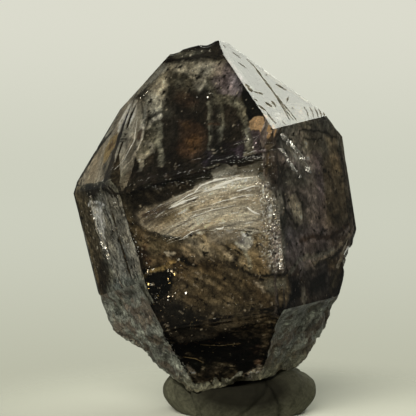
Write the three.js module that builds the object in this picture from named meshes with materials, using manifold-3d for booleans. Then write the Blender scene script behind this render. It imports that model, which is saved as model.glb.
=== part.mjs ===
// A smoky amethyst scepter head, pressed into a lump of grey-green display putty.
// Millimetres, +Z up, +Y away from the viewer. The origin is the middle of the putty's flat underside.

import * as THREE from 'three';
import { ConvexGeometry } from 'three/addons/geometries/ConvexGeometry.js';
import { mergeVertices } from 'three/addons/utils/BufferGeometryUtils.js';
import Module from 'manifold-3d';

const wasm = await Module();
wasm.setup();

// ---- driving dimensions ----

const gap = 0.3; // clearance between the crystal and its bed of putty

const crystalCentre = new THREE.Vector3(-4.4, 0, 35.5); // where the faces' distances are measured from
const crystalLeanLeft = 11.5; // degrees, the long axis leans to -X
const crystalLeanBack = 2.5; // degrees, and a little to +Y

const puttyHalfWidth = 13.3; // along X, at the bulge
const puttyHalfDepth = 11.2; // along Y, at the bulge
const puttyHeight = 6.5; // mean height of the squeezed-up rim
const puttySegments = 72;

// Faces of the crystal, each a plane. `turn` is the bearing of its outward normal about the
// long axis, from the viewer's side and positive to the right, `rise` is the normal's angle
// above the prism, both in degrees, and `reach` is the plane's distance from crystalCentre.
// Quartz has prism faces 60 degrees apart and tip faces that rise 38 degrees; the few degrees
// of difference are the tapered and slightly curved growth of this crystal.
const faces = [
  // prism
  { turn: -5, rise: 1.5, reach: 17.3 },
  { turn: 54.5, rise: -6, reach: 19 },
  { turn: 117, rise: 1.5, reach: 21.2 },
  { turn: 173, rise: 0, reach: 19.5 },
  { turn: -121, rise: 0, reach: 18.4 },
  { turn: -61.5, rise: -3.5, reach: 21.2 },
  // tip
  { turn: -12, rise: 37.5, reach: 18.9 },
  { turn: 53.5, rise: 39.5, reach: 22.9 },
  { turn: 114, rise: 38, reach: 21.7 },
  { turn: 178, rise: 41, reach: 16.5 },
  { turn: -127, rise: 38, reach: 18.9 },
  { turn: -62.5, rise: 38, reach: 21.6 },
  // small faces on the tip: the worn crest, its front step, and a corner face on either side
  { turn: 0, rise: 90, reach: 27.8 },
  { turn: -8, rise: 50, reach: 22.5 },
  { turn: 89, rise: 27.5, reach: 24.7 },
  { turn: -85, rise: 53.5, reach: 23.3 },
  // lower tip, rounded off in steps where the head overhung its stem
  { turn: -7.5, rise: -39, reach: 25.2 },
  { turn: 52, rise: -42, reach: 25.2 },
  { turn: 87, rise: -27, reach: 24.7 },
  { turn: 117, rise: -38, reach: 25.6 },
  { turn: 176, rise: -46, reach: 22.5 },
  { turn: -121, rise: -42, reach: 25.6 },
  { turn: -60.5, rise: -12.5, reach: 22.3 },
  { turn: -62, rise: -32.5, reach: 25.7 },
  { turn: -96, rise: -45, reach: 28.4 },
  { turn: 84, rise: -50, reach: 28.8 },
  // the break where the stem came away
  { turn: 0, rise: -88, reach: 30.4 },
];

// Shell-shaped chips on the edges, in the crystal's own frame: x right, y away, z along the
// long axis. `at` is the deepest point, `out` points out of the crystal.
const chips = [
  { at: [20.2, -1.2, -12.4], out: [0.86, -0.2, -0.47], radius: 5 },
  { at: [19.3, -1.6, -16.6], out: [0.9, -0.1, -0.42], radius: 3.2 },
  { at: [-0.8, -2.1, 27.1], out: [-0.25, -0.35, 0.9], radius: 3.4 },
  { at: [4, -2.5, 27.2], out: [0.1, -0.45, 0.88], radius: 2.6 },
  { at: [-21.6, -0.6, -19.2], out: [-0.88, 0.1, -0.46], radius: 4 },
  { at: [-1.6, -6, -29.4], out: [0.1, -0.62, -0.78], radius: 3.6 },
  { at: [5.6, -7.2, -28.4], out: [0.2, -0.7, -0.68], radius: 3 },
  { at: [15.4, 1.4, -22.4], out: [0.82, 0.3, -0.5], radius: 3.5 },
];
const chipDetail = 2; // how often each face of the chip's ball is split

// ---- planes, solids and booleans ----

const facePlane = ({ turn, rise, reach }, extra) => {
  const bearing = THREE.MathUtils.degToRad(turn);
  const slope = THREE.MathUtils.degToRad(rise);
  const normal = new THREE.Vector3(
    Math.sin(bearing) * Math.cos(slope),
    -Math.cos(bearing) * Math.cos(slope),
    Math.sin(slope),
  );
  return { normal, reach: reach + extra };
};

// The point where three planes cross, or null where two of them are parallel.
const crossing = (a, b, c) => {
  const bc = new THREE.Vector3().crossVectors(b.normal, c.normal);
  const volume = a.normal.dot(bc);
  if (Math.abs(volume) < 1e-6) {
    return null;
  }
  const ca = new THREE.Vector3().crossVectors(c.normal, a.normal);
  const ab = new THREE.Vector3().crossVectors(a.normal, b.normal);
  return bc.multiplyScalar(a.reach).addScaledVector(ca, b.reach).addScaledVector(ab, c.reach)
    .divideScalar(volume);
};

// The body that lies behind every face: the crossings that no plane cuts off are its corners.
const crystalGeometry = (extra = 0) => {
  const planes = faces.map((face) => facePlane(face, extra));
  const corners = [];
  for (let i = 0; i < planes.length; i += 1) {
    for (let j = i + 1; j < planes.length; j += 1) {
      for (let k = j + 1; k < planes.length; k += 1) {
        const point = crossing(planes[i], planes[j], planes[k]);
        if (point && planes.every((plane) => plane.normal.dot(point) <= plane.reach + 1e-6)) {
          corners.push(point);
        }
      }
    }
  }
  return new ConvexGeometry(corners);
};

const toSolid = (geometry) => {
  const bare = geometry.clone();
  bare.deleteAttribute('normal');
  bare.deleteAttribute('uv');
  const merged = mergeVertices(bare, 1e-4);
  const vertProperties = new Float32Array(merged.attributes.position.array);
  const triVerts = new Uint32Array(merged.index.array);
  return new wasm.Manifold(new wasm.Mesh({ numProp: 3, vertProperties, triVerts }));
};

const toGeometry = (solid) => {
  const mesh = solid.getMesh();
  const geometry = new THREE.BufferGeometry();
  geometry.setAttribute('position', new THREE.BufferAttribute(mesh.vertProperties, 3));
  geometry.setIndex(new THREE.BufferAttribute(mesh.triVerts, 1));
  return geometry;
};

// ---- the crystal ----

const chipBall = ({ at, out, radius }) => {
  const centre = new THREE.Vector3(...out).normalize().multiplyScalar(radius);
  centre.add(new THREE.Vector3(...at));
  return new THREE.IcosahedronGeometry(radius, chipDetail).translate(centre.x, centre.y, centre.z);
};

const makeCrystal = () => {
  let solid = toSolid(crystalGeometry());
  for (const chip of chips) {
    solid = solid.subtract(toSolid(chipBall(chip)));
  }
  const material = new THREE.MeshStandardMaterial({
    name: 'smoky amethyst',
    color: 0x6b5a5e,
    roughness: 0.08,
    metalness: 0,
  });
  const crystal = new THREE.Mesh(toGeometry(solid), material);
  crystal.name = 'crystal';
  return crystal;
};

const placeCrystal = (object) => {
  const back = THREE.MathUtils.degToRad(-crystalLeanBack);
  const left = THREE.MathUtils.degToRad(-crystalLeanLeft);
  object.rotation.set(back, left, 0, 'XYZ');
  object.position.copy(crystalCentre);
  object.updateMatrixWorld();
};

// ---- the putty ----

// Section of the lump: parts of the half width outwards, and of the rim height upwards.
const puttySection = [
  [0, 0], [0.82, 0], [0.91, 0.06], [0.97, 0.2], [1, 0.42], [0.985, 0.64],
  [0.93, 0.83], [0.84, 0.95], [0.7, 1], [0.45, 0.98], [0, 0.95],
];

// Half width of the lump towards a bearing: an ellipse with a few soft finger-pressed waves.
const puttyReach = (bearing) => {
  const across = puttyHalfDepth * Math.cos(bearing);
  const along = puttyHalfWidth * Math.sin(bearing);
  const ellipse = puttyHalfWidth * puttyHalfDepth / Math.hypot(across, along);
  return ellipse * (1 + 0.02 * Math.sin(3 * bearing + 0.6) + 0.015 * Math.sin(5 * bearing + 2));
};

// The rim is squeezed up to the left and right of the crystal, and stays low in front.
const puttyRim = (bearing) => puttyHeight + 0.6 * Math.cos(bearing)
  + 0.95 * Math.sin(bearing) + 0.9 * Math.cos(2 * bearing);

const makePutty = () => {
  const profile = puttySection.map(([out, up]) => new THREE.Vector2(out, up));
  const lump = new THREE.LatheGeometry(profile, puttySegments);
  lump.rotateX(Math.PI / 2);
  const position = lump.attributes.position;
  for (let i = 0; i < position.count; i += 1) {
    const bearing = Math.atan2(position.getY(i), position.getX(i));
    const out = Math.min(1, Math.hypot(position.getX(i), position.getY(i)));
    const reach = puttyReach(bearing);
    const rim = THREE.MathUtils.lerp(puttyHeight, puttyRim(bearing), out);
    position.setXYZ(i, position.getX(i) * reach, position.getY(i) * reach, position.getZ(i) * rim);
  }
  const seat = new THREE.Mesh(crystalGeometry(gap));
  placeCrystal(seat);
  const socket = seat.geometry.applyMatrix4(seat.matrixWorld);
  const material = new THREE.MeshStandardMaterial({
    name: 'display putty',
    color: 0x6f7160,
    roughness: 0.7,
    metalness: 0,
  });
  const putty = new THREE.Mesh(toGeometry(toSolid(lump).subtract(toSolid(socket))), material);
  putty.name = 'putty';
  return putty;
};

const group = new THREE.Group();
const crystal = makeCrystal();
placeCrystal(crystal);
group.add(crystal);
group.add(makePutty());

export default group;
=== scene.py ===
# Smoky amethyst scepter head pressed into a lump of display putty.
# Shapes are worked out in millimetres in the crystal's own axes (right, away, along),
# then placed in the frame's metres.

import itertools
import math

import bmesh
import bpy
import numpy as np
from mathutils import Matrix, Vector
from mathutils.geometry import delaunay_2d_cdt


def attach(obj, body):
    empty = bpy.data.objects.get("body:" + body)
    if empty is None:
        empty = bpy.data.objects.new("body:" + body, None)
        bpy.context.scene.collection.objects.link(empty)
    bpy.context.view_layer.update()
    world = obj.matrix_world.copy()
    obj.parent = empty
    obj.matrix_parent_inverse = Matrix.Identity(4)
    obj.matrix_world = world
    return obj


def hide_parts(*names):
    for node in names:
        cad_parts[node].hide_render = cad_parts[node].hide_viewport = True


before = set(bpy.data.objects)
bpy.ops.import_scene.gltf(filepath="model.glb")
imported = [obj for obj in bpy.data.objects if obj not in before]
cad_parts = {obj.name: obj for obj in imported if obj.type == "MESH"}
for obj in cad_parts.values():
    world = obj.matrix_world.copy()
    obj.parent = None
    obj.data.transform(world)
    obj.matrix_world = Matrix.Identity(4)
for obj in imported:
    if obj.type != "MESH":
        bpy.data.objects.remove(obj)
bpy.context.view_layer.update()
print("frame loaded")

mm = 0.001

stance = {  # how the crystal stands in the frame
    "centre": (-4.4, 0.0, 35.5),  # mm, where its faces are measured from
    "leanLeft": 11.5,  # degrees
    "leanBack": 2.5,
}


def crystalAxes():
    # turn about Y by the left lean, then about X by the back lean; columns are right, away, along
    left, back = math.radians(stance["leanLeft"]), math.radians(stance["leanBack"])
    aboutY = np.array([[math.cos(left), 0, -math.sin(left)],
                       [0, 1, 0],
                       [math.sin(left), 0, math.cos(left)]])
    aboutX = np.array([[1, 0, 0],
                       [0, math.cos(back), math.sin(back)],
                       [0, -math.sin(back), math.cos(back)]])
    return aboutX @ aboutY


axes = crystalAxes()


def toFrame(points):
    # from the crystal's millimetres to the frame's metres
    return (np.asarray(points) @ axes.T + stance["centre"]) * mm


def toCrystal(points):
    return (np.asarray(points) / mm - stance["centre"]) @ axes


def direction(turn, rise):
    # unit normal of a face from its bearing and its rise, in the crystal's axes
    a, e = np.radians(turn), np.radians(rise)
    return np.stack([np.sin(a) * np.cos(e), -np.cos(a) * np.cos(e), np.sin(e)], -1)


def softNoise(points, size, seed):
    # one octave: random values on a cubic lattice of the given cell size, mixed with a smoothstep
    table = np.random.default_rng(seed).uniform(-1, 1, (32, 32, 32))
    scaled = np.asarray(points) / size
    cell = np.floor(scaled).astype(int)
    part = scaled - cell
    part = part * part * (3 - 2 * part)
    total = np.zeros(len(scaled))
    for corner in itertools.product((0, 1), repeat=3):
        weight = np.prod(np.where(corner, part, 1 - part), axis=1)
        i, j, k = ((cell + corner) % 32).T
        total += weight * table[i, j, k]
    return total


def layeredNoise(points, size, seed, octaves=4, fade=0.5):
    # octaves of softNoise, each half the size and `fade` times the strength of the one before
    total, strength, norm = 0, 1.0, 0.0
    for octave in range(octaves):
        total = total + strength * softNoise(points, np.asarray(size) / 2 ** octave, seed + octave)
        norm += strength
        strength *= fade
    return total / norm


def atLevel(spots, level):
    # spots on a face as points for the noise, at a level of their own so that no two faces match
    return np.c_[spots, np.full(len(spots), level)]


def smoothStep(low, high, value):
    # 0 up to low, 1 from high, and 3 t^2 - 2 t^3 in between
    t = np.clip((value - low) / (high - low), 0, 1)
    return t * t * (3 - 2 * t)


def distanceToPath(points, path):
    # least distance from each point to any stretch of an open path
    best = np.full(len(points), 1e9)
    for start, end in zip(path[:-1], path[1:]):
        run = end - start
        t = np.clip((points - start) @ run / (run @ run), 0, 1)
        best = np.minimum(best, np.linalg.norm(points - start - t[:, None] * run, axis=1))
    return best


def distanceToBorder(points, outline):
    return distanceToPath(points, np.concatenate([outline, outline[:1]]))


def insideOutline(points, outline):
    # even-odd count of crossings of a ray to the right
    x, y = points.T
    inside = np.zeros(len(points), bool)
    for (ax, ay), (bx, by) in zip(outline, np.roll(outline, -1, axis=0)):
        spans = (ay > y) != (by > y)
        with np.errstate(divide="ignore", invalid="ignore"):
            crossing = ax + (y - ay) / (by - ay) * (bx - ax)
        inside ^= spans & (x < crossing)
    return inside


faceBearings = {  # turn and rise in degrees of each flat face, as the crystal is cut
    "frontPrism": (-5, 1.5), "rightPrism": (54.5, -6), "backRightPrism": (117, 1.5),
    "backPrism": (173, 0), "backLeftPrism": (-121, 0), "leftPrism": (-61.5, -3.5),
    "frontTip": (-12, 37.5), "rightTip": (53.5, 39.5), "backRightTip": (114, 38),
    "backTip": (178, 41), "backLeftTip": (-127, 38), "leftTip": (-62.5, 38),
    "crest": (0, 90), "frontStep": (-8, 50), "rightStep": (89, 27.5), "leftStep": (-85, 53.5),
    "frontFoot": (-7.5, -39), "rightFoot": (52, -42), "rightFlank": (87, -27),
    "backRightFoot": (117, -38), "backFoot": (176, -46), "backLeftFoot": (-121, -42),
    "leftSkirt": (-60.5, -12.5), "leftFoot": (-62, -32.5), "leftFlank": (-96, -45),
    "lowRightFlank": (84, -50), "base": (0, -88),
}

faceFinish = {
    "frontPrism": "prism", "rightPrism": "prism", "leftPrism": "prism",
    "backRightPrism": "silk", "backPrism": "silk", "backLeftPrism": "silk",
    "backRightTip": "prism", "backTip": "prism", "backLeftTip": "prism",
    "rightFoot": "etched", "rightFlank": "etched", "backRightFoot": "etched", "backFoot": "etched",
    "backLeftFoot": "etched", "leftSkirt": "etched", "leftFoot": "etched", "leftFlank": "etched",
    "lowRightFlank": "etched", "base": "etched", "frontFoot": "broken",
}  # the others are tip faces


def alongFace(normal):
    # the directions right and up along a face; on a level face right is the crystal's own
    right = np.cross([0, 0, 1.0], normal)
    right = right / np.linalg.norm(right) if np.linalg.norm(right) > 1e-3 else np.array([1.0, 0, 0])
    return right, np.cross(normal, right)


def facePlanes():
    # each face's outward normal, how far out it lies, and the right and up directions along it
    body = toCrystal([v.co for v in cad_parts["crystal"].data.vertices])
    planes = {}
    for name, bearing in faceBearings.items():
        normal = direction(*bearing)
        right, up = alongFace(normal)
        planes[name] = {"normal": normal, "reach": (body @ normal).max(), "right": right, "up": up}
    return planes


planes = facePlanes()
wallNormals = np.array([p["normal"] for p in planes.values()])
wallReaches = np.array([p["reach"] for p in planes.values()])

clearance = {  # mm that stays free under the faces
    "etched": 1.2,  # for the etching
    "leftSkirt": 0.4,  # hardly etched at its top, where a veil crosses over
    "veil": 0.4,  # for the relief of every face, over veils and threads
    "flake": 0.5,
}
wallMargins = np.array([clearance["etched"] if faceFinish.get(name) == "etched" else 0.0 for name in planes])
wallMargins[list(planes).index("leftSkirt")] = clearance["leftSkirt"]


def beyondWalls(points, margin):
    # how far each point lies past a surface `margin` mm inside the crystal, and the face it passes
    over = points @ wallNormals.T - (wallReaches - wallMargins - margin)
    return over.max(1), wallNormals[over.argmax(1)]


def heldInside(points, margin):
    # points past that surface are moved back to it, face by face; six rounds settle those in corners
    for _ in range(6):
        over, normal = beyondWalls(points, margin)
        points = points - normal * np.maximum(over, 0)[:, None]
    return points


def makePiece(name, points, faces, material, slot, smooth=True):
    # points in the crystal's millimetres, faces as rows of corner numbers
    mesh = bpy.data.meshes.new(name)
    mesh.from_pydata(toFrame(points), [], faces.tolist() if hasattr(faces, "tolist") else faces)
    mesh.polygons.foreach_set("use_smooth", np.full(len(mesh.polygons), smooth))
    addValues(mesh, "grown", points)
    mesh.materials.append(material)
    piece = bpy.data.objects.new(name, mesh)
    bpy.context.scene.collection.objects.link(piece)
    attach(piece, "root")
    return piece


def addValues(mesh, name, values, domain="POINT"):
    # rows of three are vectors, single numbers are floats
    values = np.asarray(values, np.float32)
    kind, field = ("FLOAT_VECTOR", "vector") if values.ndim == 2 else ("FLOAT", "value")
    mesh.attributes.new(name, kind, domain).data.foreach_set(field, values.ravel())


def nodeMaker(tree):
    # returns make(kind, inputs, settings): an input is a plain value, or a socket to link from
    def make(kind, inputs=None, **settings):
        node = tree.nodes.new("ShaderNode" + kind)
        for name, value in settings.items():
            setattr(node, name, value)
        for name, value in (inputs or {}).items():
            if isinstance(value, bpy.types.NodeSocket):
                tree.links.new(value, node.inputs[name])
            else:
                node.inputs[name].default_value = value
        return node
    return make


def newMaterial(name):
    material = bpy.data.materials.new(name)
    material.use_nodes = True
    tree = material.node_tree
    tree.nodes.remove(tree.nodes["Principled BSDF"])
    return material, nodeMaker(tree), tree.nodes["Material Output"]


def newGroup(name, inputs, outputs):
    # a node group with named sockets; inputs map a name to its kind and default
    tree = bpy.data.node_groups.new(name, "ShaderNodeTree")
    for socketName, (kind, default) in inputs.items():
        socket = tree.interface.new_socket(socketName, in_out="INPUT", socket_type="NodeSocket" + kind)
        if default is not None:
            socket.default_value = default
    for socketName, kind in outputs.items():
        tree.interface.new_socket(socketName, in_out="OUTPUT", socket_type="NodeSocket" + kind)
    given, out = tree.nodes.new("NodeGroupInput"), tree.nodes.new("NodeGroupOutput")
    return tree, nodeMaker(tree), given.outputs, out.inputs


def arithmetic(make, operation, *values, **settings):
    return make("Math", dict(enumerate(values)), operation=operation, **settings).outputs[0]


def ramp(make, value, low, high, toLow=0.0, toHigh=1.0, kind="LINEAR"):
    # carries low to toLow and high to toHigh, and holds the ends
    stretch = {"Value": value, "From Min": low, "From Max": high, "To Min": toLow, "To Max": toHigh}
    return make("MapRange", stretch, interpolation_type=kind).outputs[0]


def blend(make, share, first, second):
    # the first tone where share is 0 and the second where it is 1; a tone is three numbers or a socket
    ends = [tone if isinstance(tone, bpy.types.NodeSocket) else (*tone, 1) for tone in (first, second)]
    return make("Mix", {0: share, 6: ends[0], 7: ends[1]}, data_type="RGBA").outputs[2]


def attribute(make, name, kind="Fac"):
    return make("Attribute", attribute_name=name).outputs[kind]


def useGroup(make, group, inputs):
    return make("Group", inputs, node_tree=group).outputs


def sendOut(output, shader, name="Surface"):
    output.id_data.links.new(shader.outputs[0], output.inputs[name])


def mottleGroup():
    # cloudy mask of patches of about Size mm, sharpened by Contrast, and a finer one four times smaller
    tree, make, given, out = newGroup(
        "mottle",
        {"Place": ("Vector", None), "Size": ("Float", 1.0), "Contrast": ("Float", 1.0)},
        {"Cloud": "Float", "Grit": "Float"},
    )
    scale = arithmetic(make, "DIVIDE", 1.0, given["Size"])
    fine = arithmetic(make, "MULTIPLY", scale, 4.0)
    for name, size in (("Cloud", scale), ("Grit", fine)):
        noise = make("TexNoise", {"Vector": given["Place"], "Scale": size, "Detail": 5.0,
                                  "Roughness": 0.6, "Distortion": 0.4})
        centred = arithmetic(make, "SUBTRACT", noise.outputs["Fac"], 0.5)
        spread = arithmetic(make, "MULTIPLY_ADD", centred, given["Contrast"], 0.5, use_clamp=True)
        tree.links.new(spread, out[name])
    return tree


def grooveGroup():
    # height of fine growth grooves that run across the crystal, with small pits among them
    tree, make, given, out = newGroup(
        "growthGrooves",
        {"Place": ("Vector", None), "Spacing": ("Float", 0.5), "Pits": ("Float", 0.5)},
        {"Height": "Float"},
    )
    scale = arithmetic(make, "DIVIDE", 1.0, given["Spacing"])
    stretched = make("Mapping", {"Vector": given["Place"], "Scale": (0.07, 0.07, 1.0)}).outputs[0]
    grooves = make("TexNoise", {"Vector": stretched, "Scale": scale, "Detail": 3.0, "Roughness": 0.65})
    pits = make("TexNoise", {"Vector": given["Place"], "Scale": scale, "Detail": 4.0, "Roughness": 0.7})
    both = make("Mix", {0: given["Pits"], 2: grooves.outputs["Fac"], 3: pits.outputs["Fac"]})
    tree.links.new(both.outputs[0], out["Height"])
    return tree


mottle = mottleGroup()
growthGrooves = grooveGroup()


crystal = {
    "grain": 0.38,  # mm between the points of the fine surface
    "flatRim": 1.4,  # mm beside the edges over which the faces' relief grows
    "wearWidth": 0.45,  # mm, how far from an edge its wear reaches
    "wearDepth": 0.10,  # mm
    "footWear": 0.35,  # mm, along the etched faces' edges
    "nicks": 2.2,  # mm, the size of the nicks in its edges
    "leastNick": 0.15,  # share of the wear that is everywhere
    "sharpNick": 0.05,  # and all that the sharp edge in front has
    "lumps": (3.6, 0.7),  # mm, size and depth of the etched hollows
    "pits": (1.3, 0.6),  # mm, the same for the smaller pits in them
    "etchBehind": 1.8,  # mm that etching reaches over the clear faces behind
    "etchFade": 2.5,  # mm below the clear faces in front over which it dies out
    "rim": 1.5,  # mm, how far the etched skin climbs the broken foot
    "rimWaves": 1.6,  # mm, the size of the waves in its border
    "sharpFrom": 24,  # degrees between two faces, from which their edge is drawn sharp
    "haze": (0.56, 0.49, 0.33),  # what the smoky colour lets through
    "hazeDensity": 28.0,
    "bending": 1.544,  # refractive index of quartz
    "lampShare": (0.9, 0.9, 0.9),  # of the lamps' light that gets in
    "etchedTones": ((0.065, 0.065, 0.053), (0.41, 0.43, 0.36)),  # dark and light
    "etchedBrown": (0.13, 0.095, 0.062),
    "etchedLow": (0.27, 0.245, 0.145),  # near its base
    "etchedCracks": (0.025, 0.022, 0.017),
}

finishes = {  # of the faces
    # relief in mm, its grain across and up the face in mm, then frosting and grooves from 0 to 1
    "tip": {"high": 0.05, "grain": (5, 3.5), "frost": 0.0, "groove": 0.1},
    "prism": {"high": 0.05, "grain": (9, 1.6), "frost": 0.03, "groove": 0.35},
    "silk": {"high": 0.10, "grain": (12, 1.3), "frost": 0.2, "groove": 1.0},
    "etched": {"high": 0.22, "grain": (2.6, 2.2), "frost": 0.9, "groove": 0.0},
    "broken": {"high": 0.25, "grain": (6, 4), "frost": 0.25, "groove": 0.0},
}


def onFrontEdge(points):
    # within 1 mm of the edge between the front tip and prism faces, which stayed sharp
    gaps = [planes[name]["reach"] - points @ planes[name]["normal"] for name in ("frontTip", "frontPrism")]
    return np.max(gaps, 0) < 1.0


def crystalFacets():
    # the CAD crystal's flat faces as outlines, in the crystal's millimetres, with their finish
    bm = bmesh.new()
    bm.from_mesh(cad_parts["crystal"].data)
    bmesh.ops.remove_doubles(bm, verts=bm.verts, dist=2e-6)  # m, as its triangles are loose
    bmesh.ops.dissolve_limit(bm, angle_limit=math.radians(0.4), verts=bm.verts, edges=bm.edges)
    facets = []
    names = list(planes)
    for face in bm.faces:
        normal = np.array(face.normal) @ axes
        closeness = wallNormals @ normal
        outline = toCrystal([v.co for v in face.verts])
        kind = faceFinish.get(names[closeness.argmax()], "tip")
        if closeness.max() < math.cos(math.radians(1)):  # no face looks this way, so it is in a chip
            beside = names[(wallReaches - outline @ wallNormals.T).mean(0).argmin()]
            kind = "etched" if faceFinish.get(beside) == "etched" else "broken"
        facets.append((outline, normal, kind))
    bm.free()
    return facets


def borderPoints(outline, normal, step):
    # walks the outline and splits each edge evenly; an edge gives the same points from either side. The
    # second set bows each edge outwards by 0.02 mm, as points on one line would join into empty triangles
    pieces, bowed = [], []
    for start, end in zip(outline, np.roll(outline, -1, axis=0)):
        swap = tuple(end) < tuple(start)
        low, high = (end, start) if swap else (start, end)
        count = max(1, math.ceil(np.linalg.norm(end - start) / step - 1e-6))
        share = np.arange(count + 1)[:, None] / count
        line = low + (high - low) * share
        line = (line[::-1] if swap else line)[:-1]
        outward = np.cross(end - start, normal) / np.linalg.norm(end - start)
        pieces.append(line)
        bowed.append(line + outward * (0.08 * share * (1 - share))[:-1])
    return np.concatenate(pieces), np.concatenate(bowed)


def fineFacet(outline, normal, step):
    # a hexagonal grid of points inside the outline, joined to evenly split edges; returns the points, the
    # triangles, each point's place along the facet and its distance to the facet's border
    base = np.stack(alongFace(normal))
    flat = outline @ base.T
    rim, bowed = borderPoints(outline, normal, step)
    low, high = flat.min(0), flat.max(0)
    rows = np.arange(low[1], high[1], step * math.sqrt(3) / 2)
    columns = np.arange(low[0], high[0] + step, step)
    gx, gy = np.meshgrid(columns, rows)
    gx = gx + (np.arange(len(rows)) % 2)[:, None] * step / 2
    grid = np.stack([gx.ravel(), gy.ravel()], 1)
    grid = grid[insideOutline(grid, flat)]
    if len(grid):
        grid = grid[distanceToBorder(grid, flat) > 0.55 * step]
    level = (outline @ normal).mean()
    points = np.concatenate([rim, grid @ base + normal * level])
    local = points @ base.T
    spots = np.concatenate([bowed @ base.T, grid])
    ring = list(range(len(rim)))
    insideOnly = 1
    result = delaunay_2d_cdt(list(map(Vector, spots.tolist())), [], [ring], insideOnly, 1e-7, True)
    source = np.array([found[0] for found in result[3]])
    triangles = source[np.array(result[2])]
    triangles = triangles[insideOutline(spots[triangles].mean(1), spots[ring])]
    return points, triangles, local, distanceToBorder(local, flat)


def faceRelief(local, edge, finish, seed):
    # mm over the flat face, never above 0: stretched noise from 0 to 1 times the relief, half of it cut into
    # steps, and none at the edges
    wide, tall = finish["grain"]
    swell = layeredNoise(atLevel(local / [wide, tall], seed * 7.3), 1.0, seed, octaves=3)
    steps = np.round(swell * 4) / 4
    swell = swell + (steps - swell) * 0.5
    return -finish["high"] * (0.5 + 0.5 * swell) * smoothStep(0, crystal["flatRim"], edge)


def frostOver(points, triangles, kind):
    # a face's frosting for each triangle; the broken foot's is that of the etched skin in a ragged band
    # above its base
    frost = np.full(len(triangles), finishes[kind]["frost"])
    if kind == "broken":
        middle = points[triangles].mean(1)
        up = planes["base"]["reach"] - middle @ planes["base"]["normal"]
        border = crystal["rim"] * (1 + layeredNoise(middle, crystal["rimWaves"], 51, octaves=3))
        frost[up < border] = finishes["etched"]["frost"]
    return frost


def crystalSurface():
    # returns points and triangles, for each point its distance to the edge, its height over the flat face
    # and the face's normal, and for each triangle its frosting and grooves
    parts = {name: [] for name in ("points", "triangles", "edge", "height", "normal", "frost", "groove")}
    start = 0
    for seed, (outline, normal, kind) in enumerate(crystalFacets()):
        points, triangles, local, edge = fineFacet(outline, normal, crystal["grain"])
        finish = finishes[kind]
        parts["points"].append(points)
        parts["triangles"].append(triangles + start)
        parts["edge"].append(edge)
        parts["height"].append(faceRelief(local, edge, finish, seed))
        parts["normal"].append(np.repeat(normal[None], len(points), 0))
        parts["frost"].append(frostOver(points, triangles, kind))
        parts["groove"].append(np.full(len(triangles), finish["groove"]))
        start += len(points)
    return {name: np.concatenate(rows) for name, rows in parts.items()}


def welded(surface):
    # points that two faces share become one, which carries both faces' normals
    keys = np.round(surface["points"], 4)
    _, first, where = np.unique(keys, axis=0, return_index=True, return_inverse=True)
    where = where.ravel()
    normal = np.zeros((len(first), 3))
    np.add.at(normal, where, surface["normal"])
    normal /= np.linalg.norm(normal, axis=1)[:, None]
    frosted = np.zeros(len(first))
    frostOfPoint = np.zeros(len(surface["points"]))
    frostOfPoint[surface["triangles"].ravel()] = np.repeat(surface["frost"], 3)
    np.maximum.at(frosted, where, frostOfPoint)
    return {**surface, "points": surface["points"][first], "edge": surface["edge"][first],
            "height": surface["height"][first], "normal": normal, "frosted": frosted,
            "triangles": where[surface["triangles"]]}


def etchedDepth(points, normals, etched, turned):
    # hollows and pits, each a noise from 0 to 1 times its depth, eat up to 1.3 mm into the foot, die out
    # towards the clear faces in front, and nibble the clear faces behind near their shared edges
    def room(names):
        # distance to the nearest edge with one of these faces, along the surface
        gaps = []
        for name in names:
            away = planes[name]["reach"] - points @ planes[name]["normal"]
            slant = np.sqrt(np.maximum(0, 1 - (normals @ planes[name]["normal"]) ** 2))
            gaps.append(away / np.maximum(slant, 0.12))  # no less, for faces that look nearly the same way
        return np.min(gaps, 0)

    front = room([name for name in planes if faceFinish.get(name, "tip") in ("tip", "prism")])
    foot = room([name for name in planes if faceFinish.get(name) == "etched"])
    lumpSize, lumpDepth = crystal["lumps"]
    pitSize, pitDepth = crystal["pits"]
    lumps = smoothStep(-0.4, 0.5, layeredNoise(points, lumpSize, 33, octaves=2))
    pits = smoothStep(-0.4, 0.6, layeredNoise(points, pitSize, 37, octaves=3, fade=0.7))
    share = np.where(etched, 1, np.where(turned, 1 - smoothStep(0, crystal["etchBehind"], foot), 0))
    return (lumpDepth * lumps + pitDepth * pits) * share * smoothStep(-0.2, crystal["etchFade"], front)


def wornSurface(surface):
    # edges are rubbed down by noise: deepest on the edge, none at wearWidth, more on etched faces
    points = surface["points"]
    turned = surface["normal"][:, 1] > 0.1  # on the far side
    etched = surface["frosted"] > 0.5
    near = 1 - smoothStep(0, crystal["wearWidth"], surface["edge"])
    nicks = smoothStep(0.0, 0.7, layeredNoise(points, crystal["nicks"], 90)) + crystal["leastNick"]
    nicks = np.where(onFrontEdge(points), crystal["sharpNick"], nicks)
    depth = crystal["wearDepth"] + (crystal["footWear"] - crystal["wearDepth"]) * etched
    height = surface["height"] - near * nicks * depth
    height -= etchedDepth(points, surface["normal"], etched, turned)
    return points + surface["normal"] * height[:, None]


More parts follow.
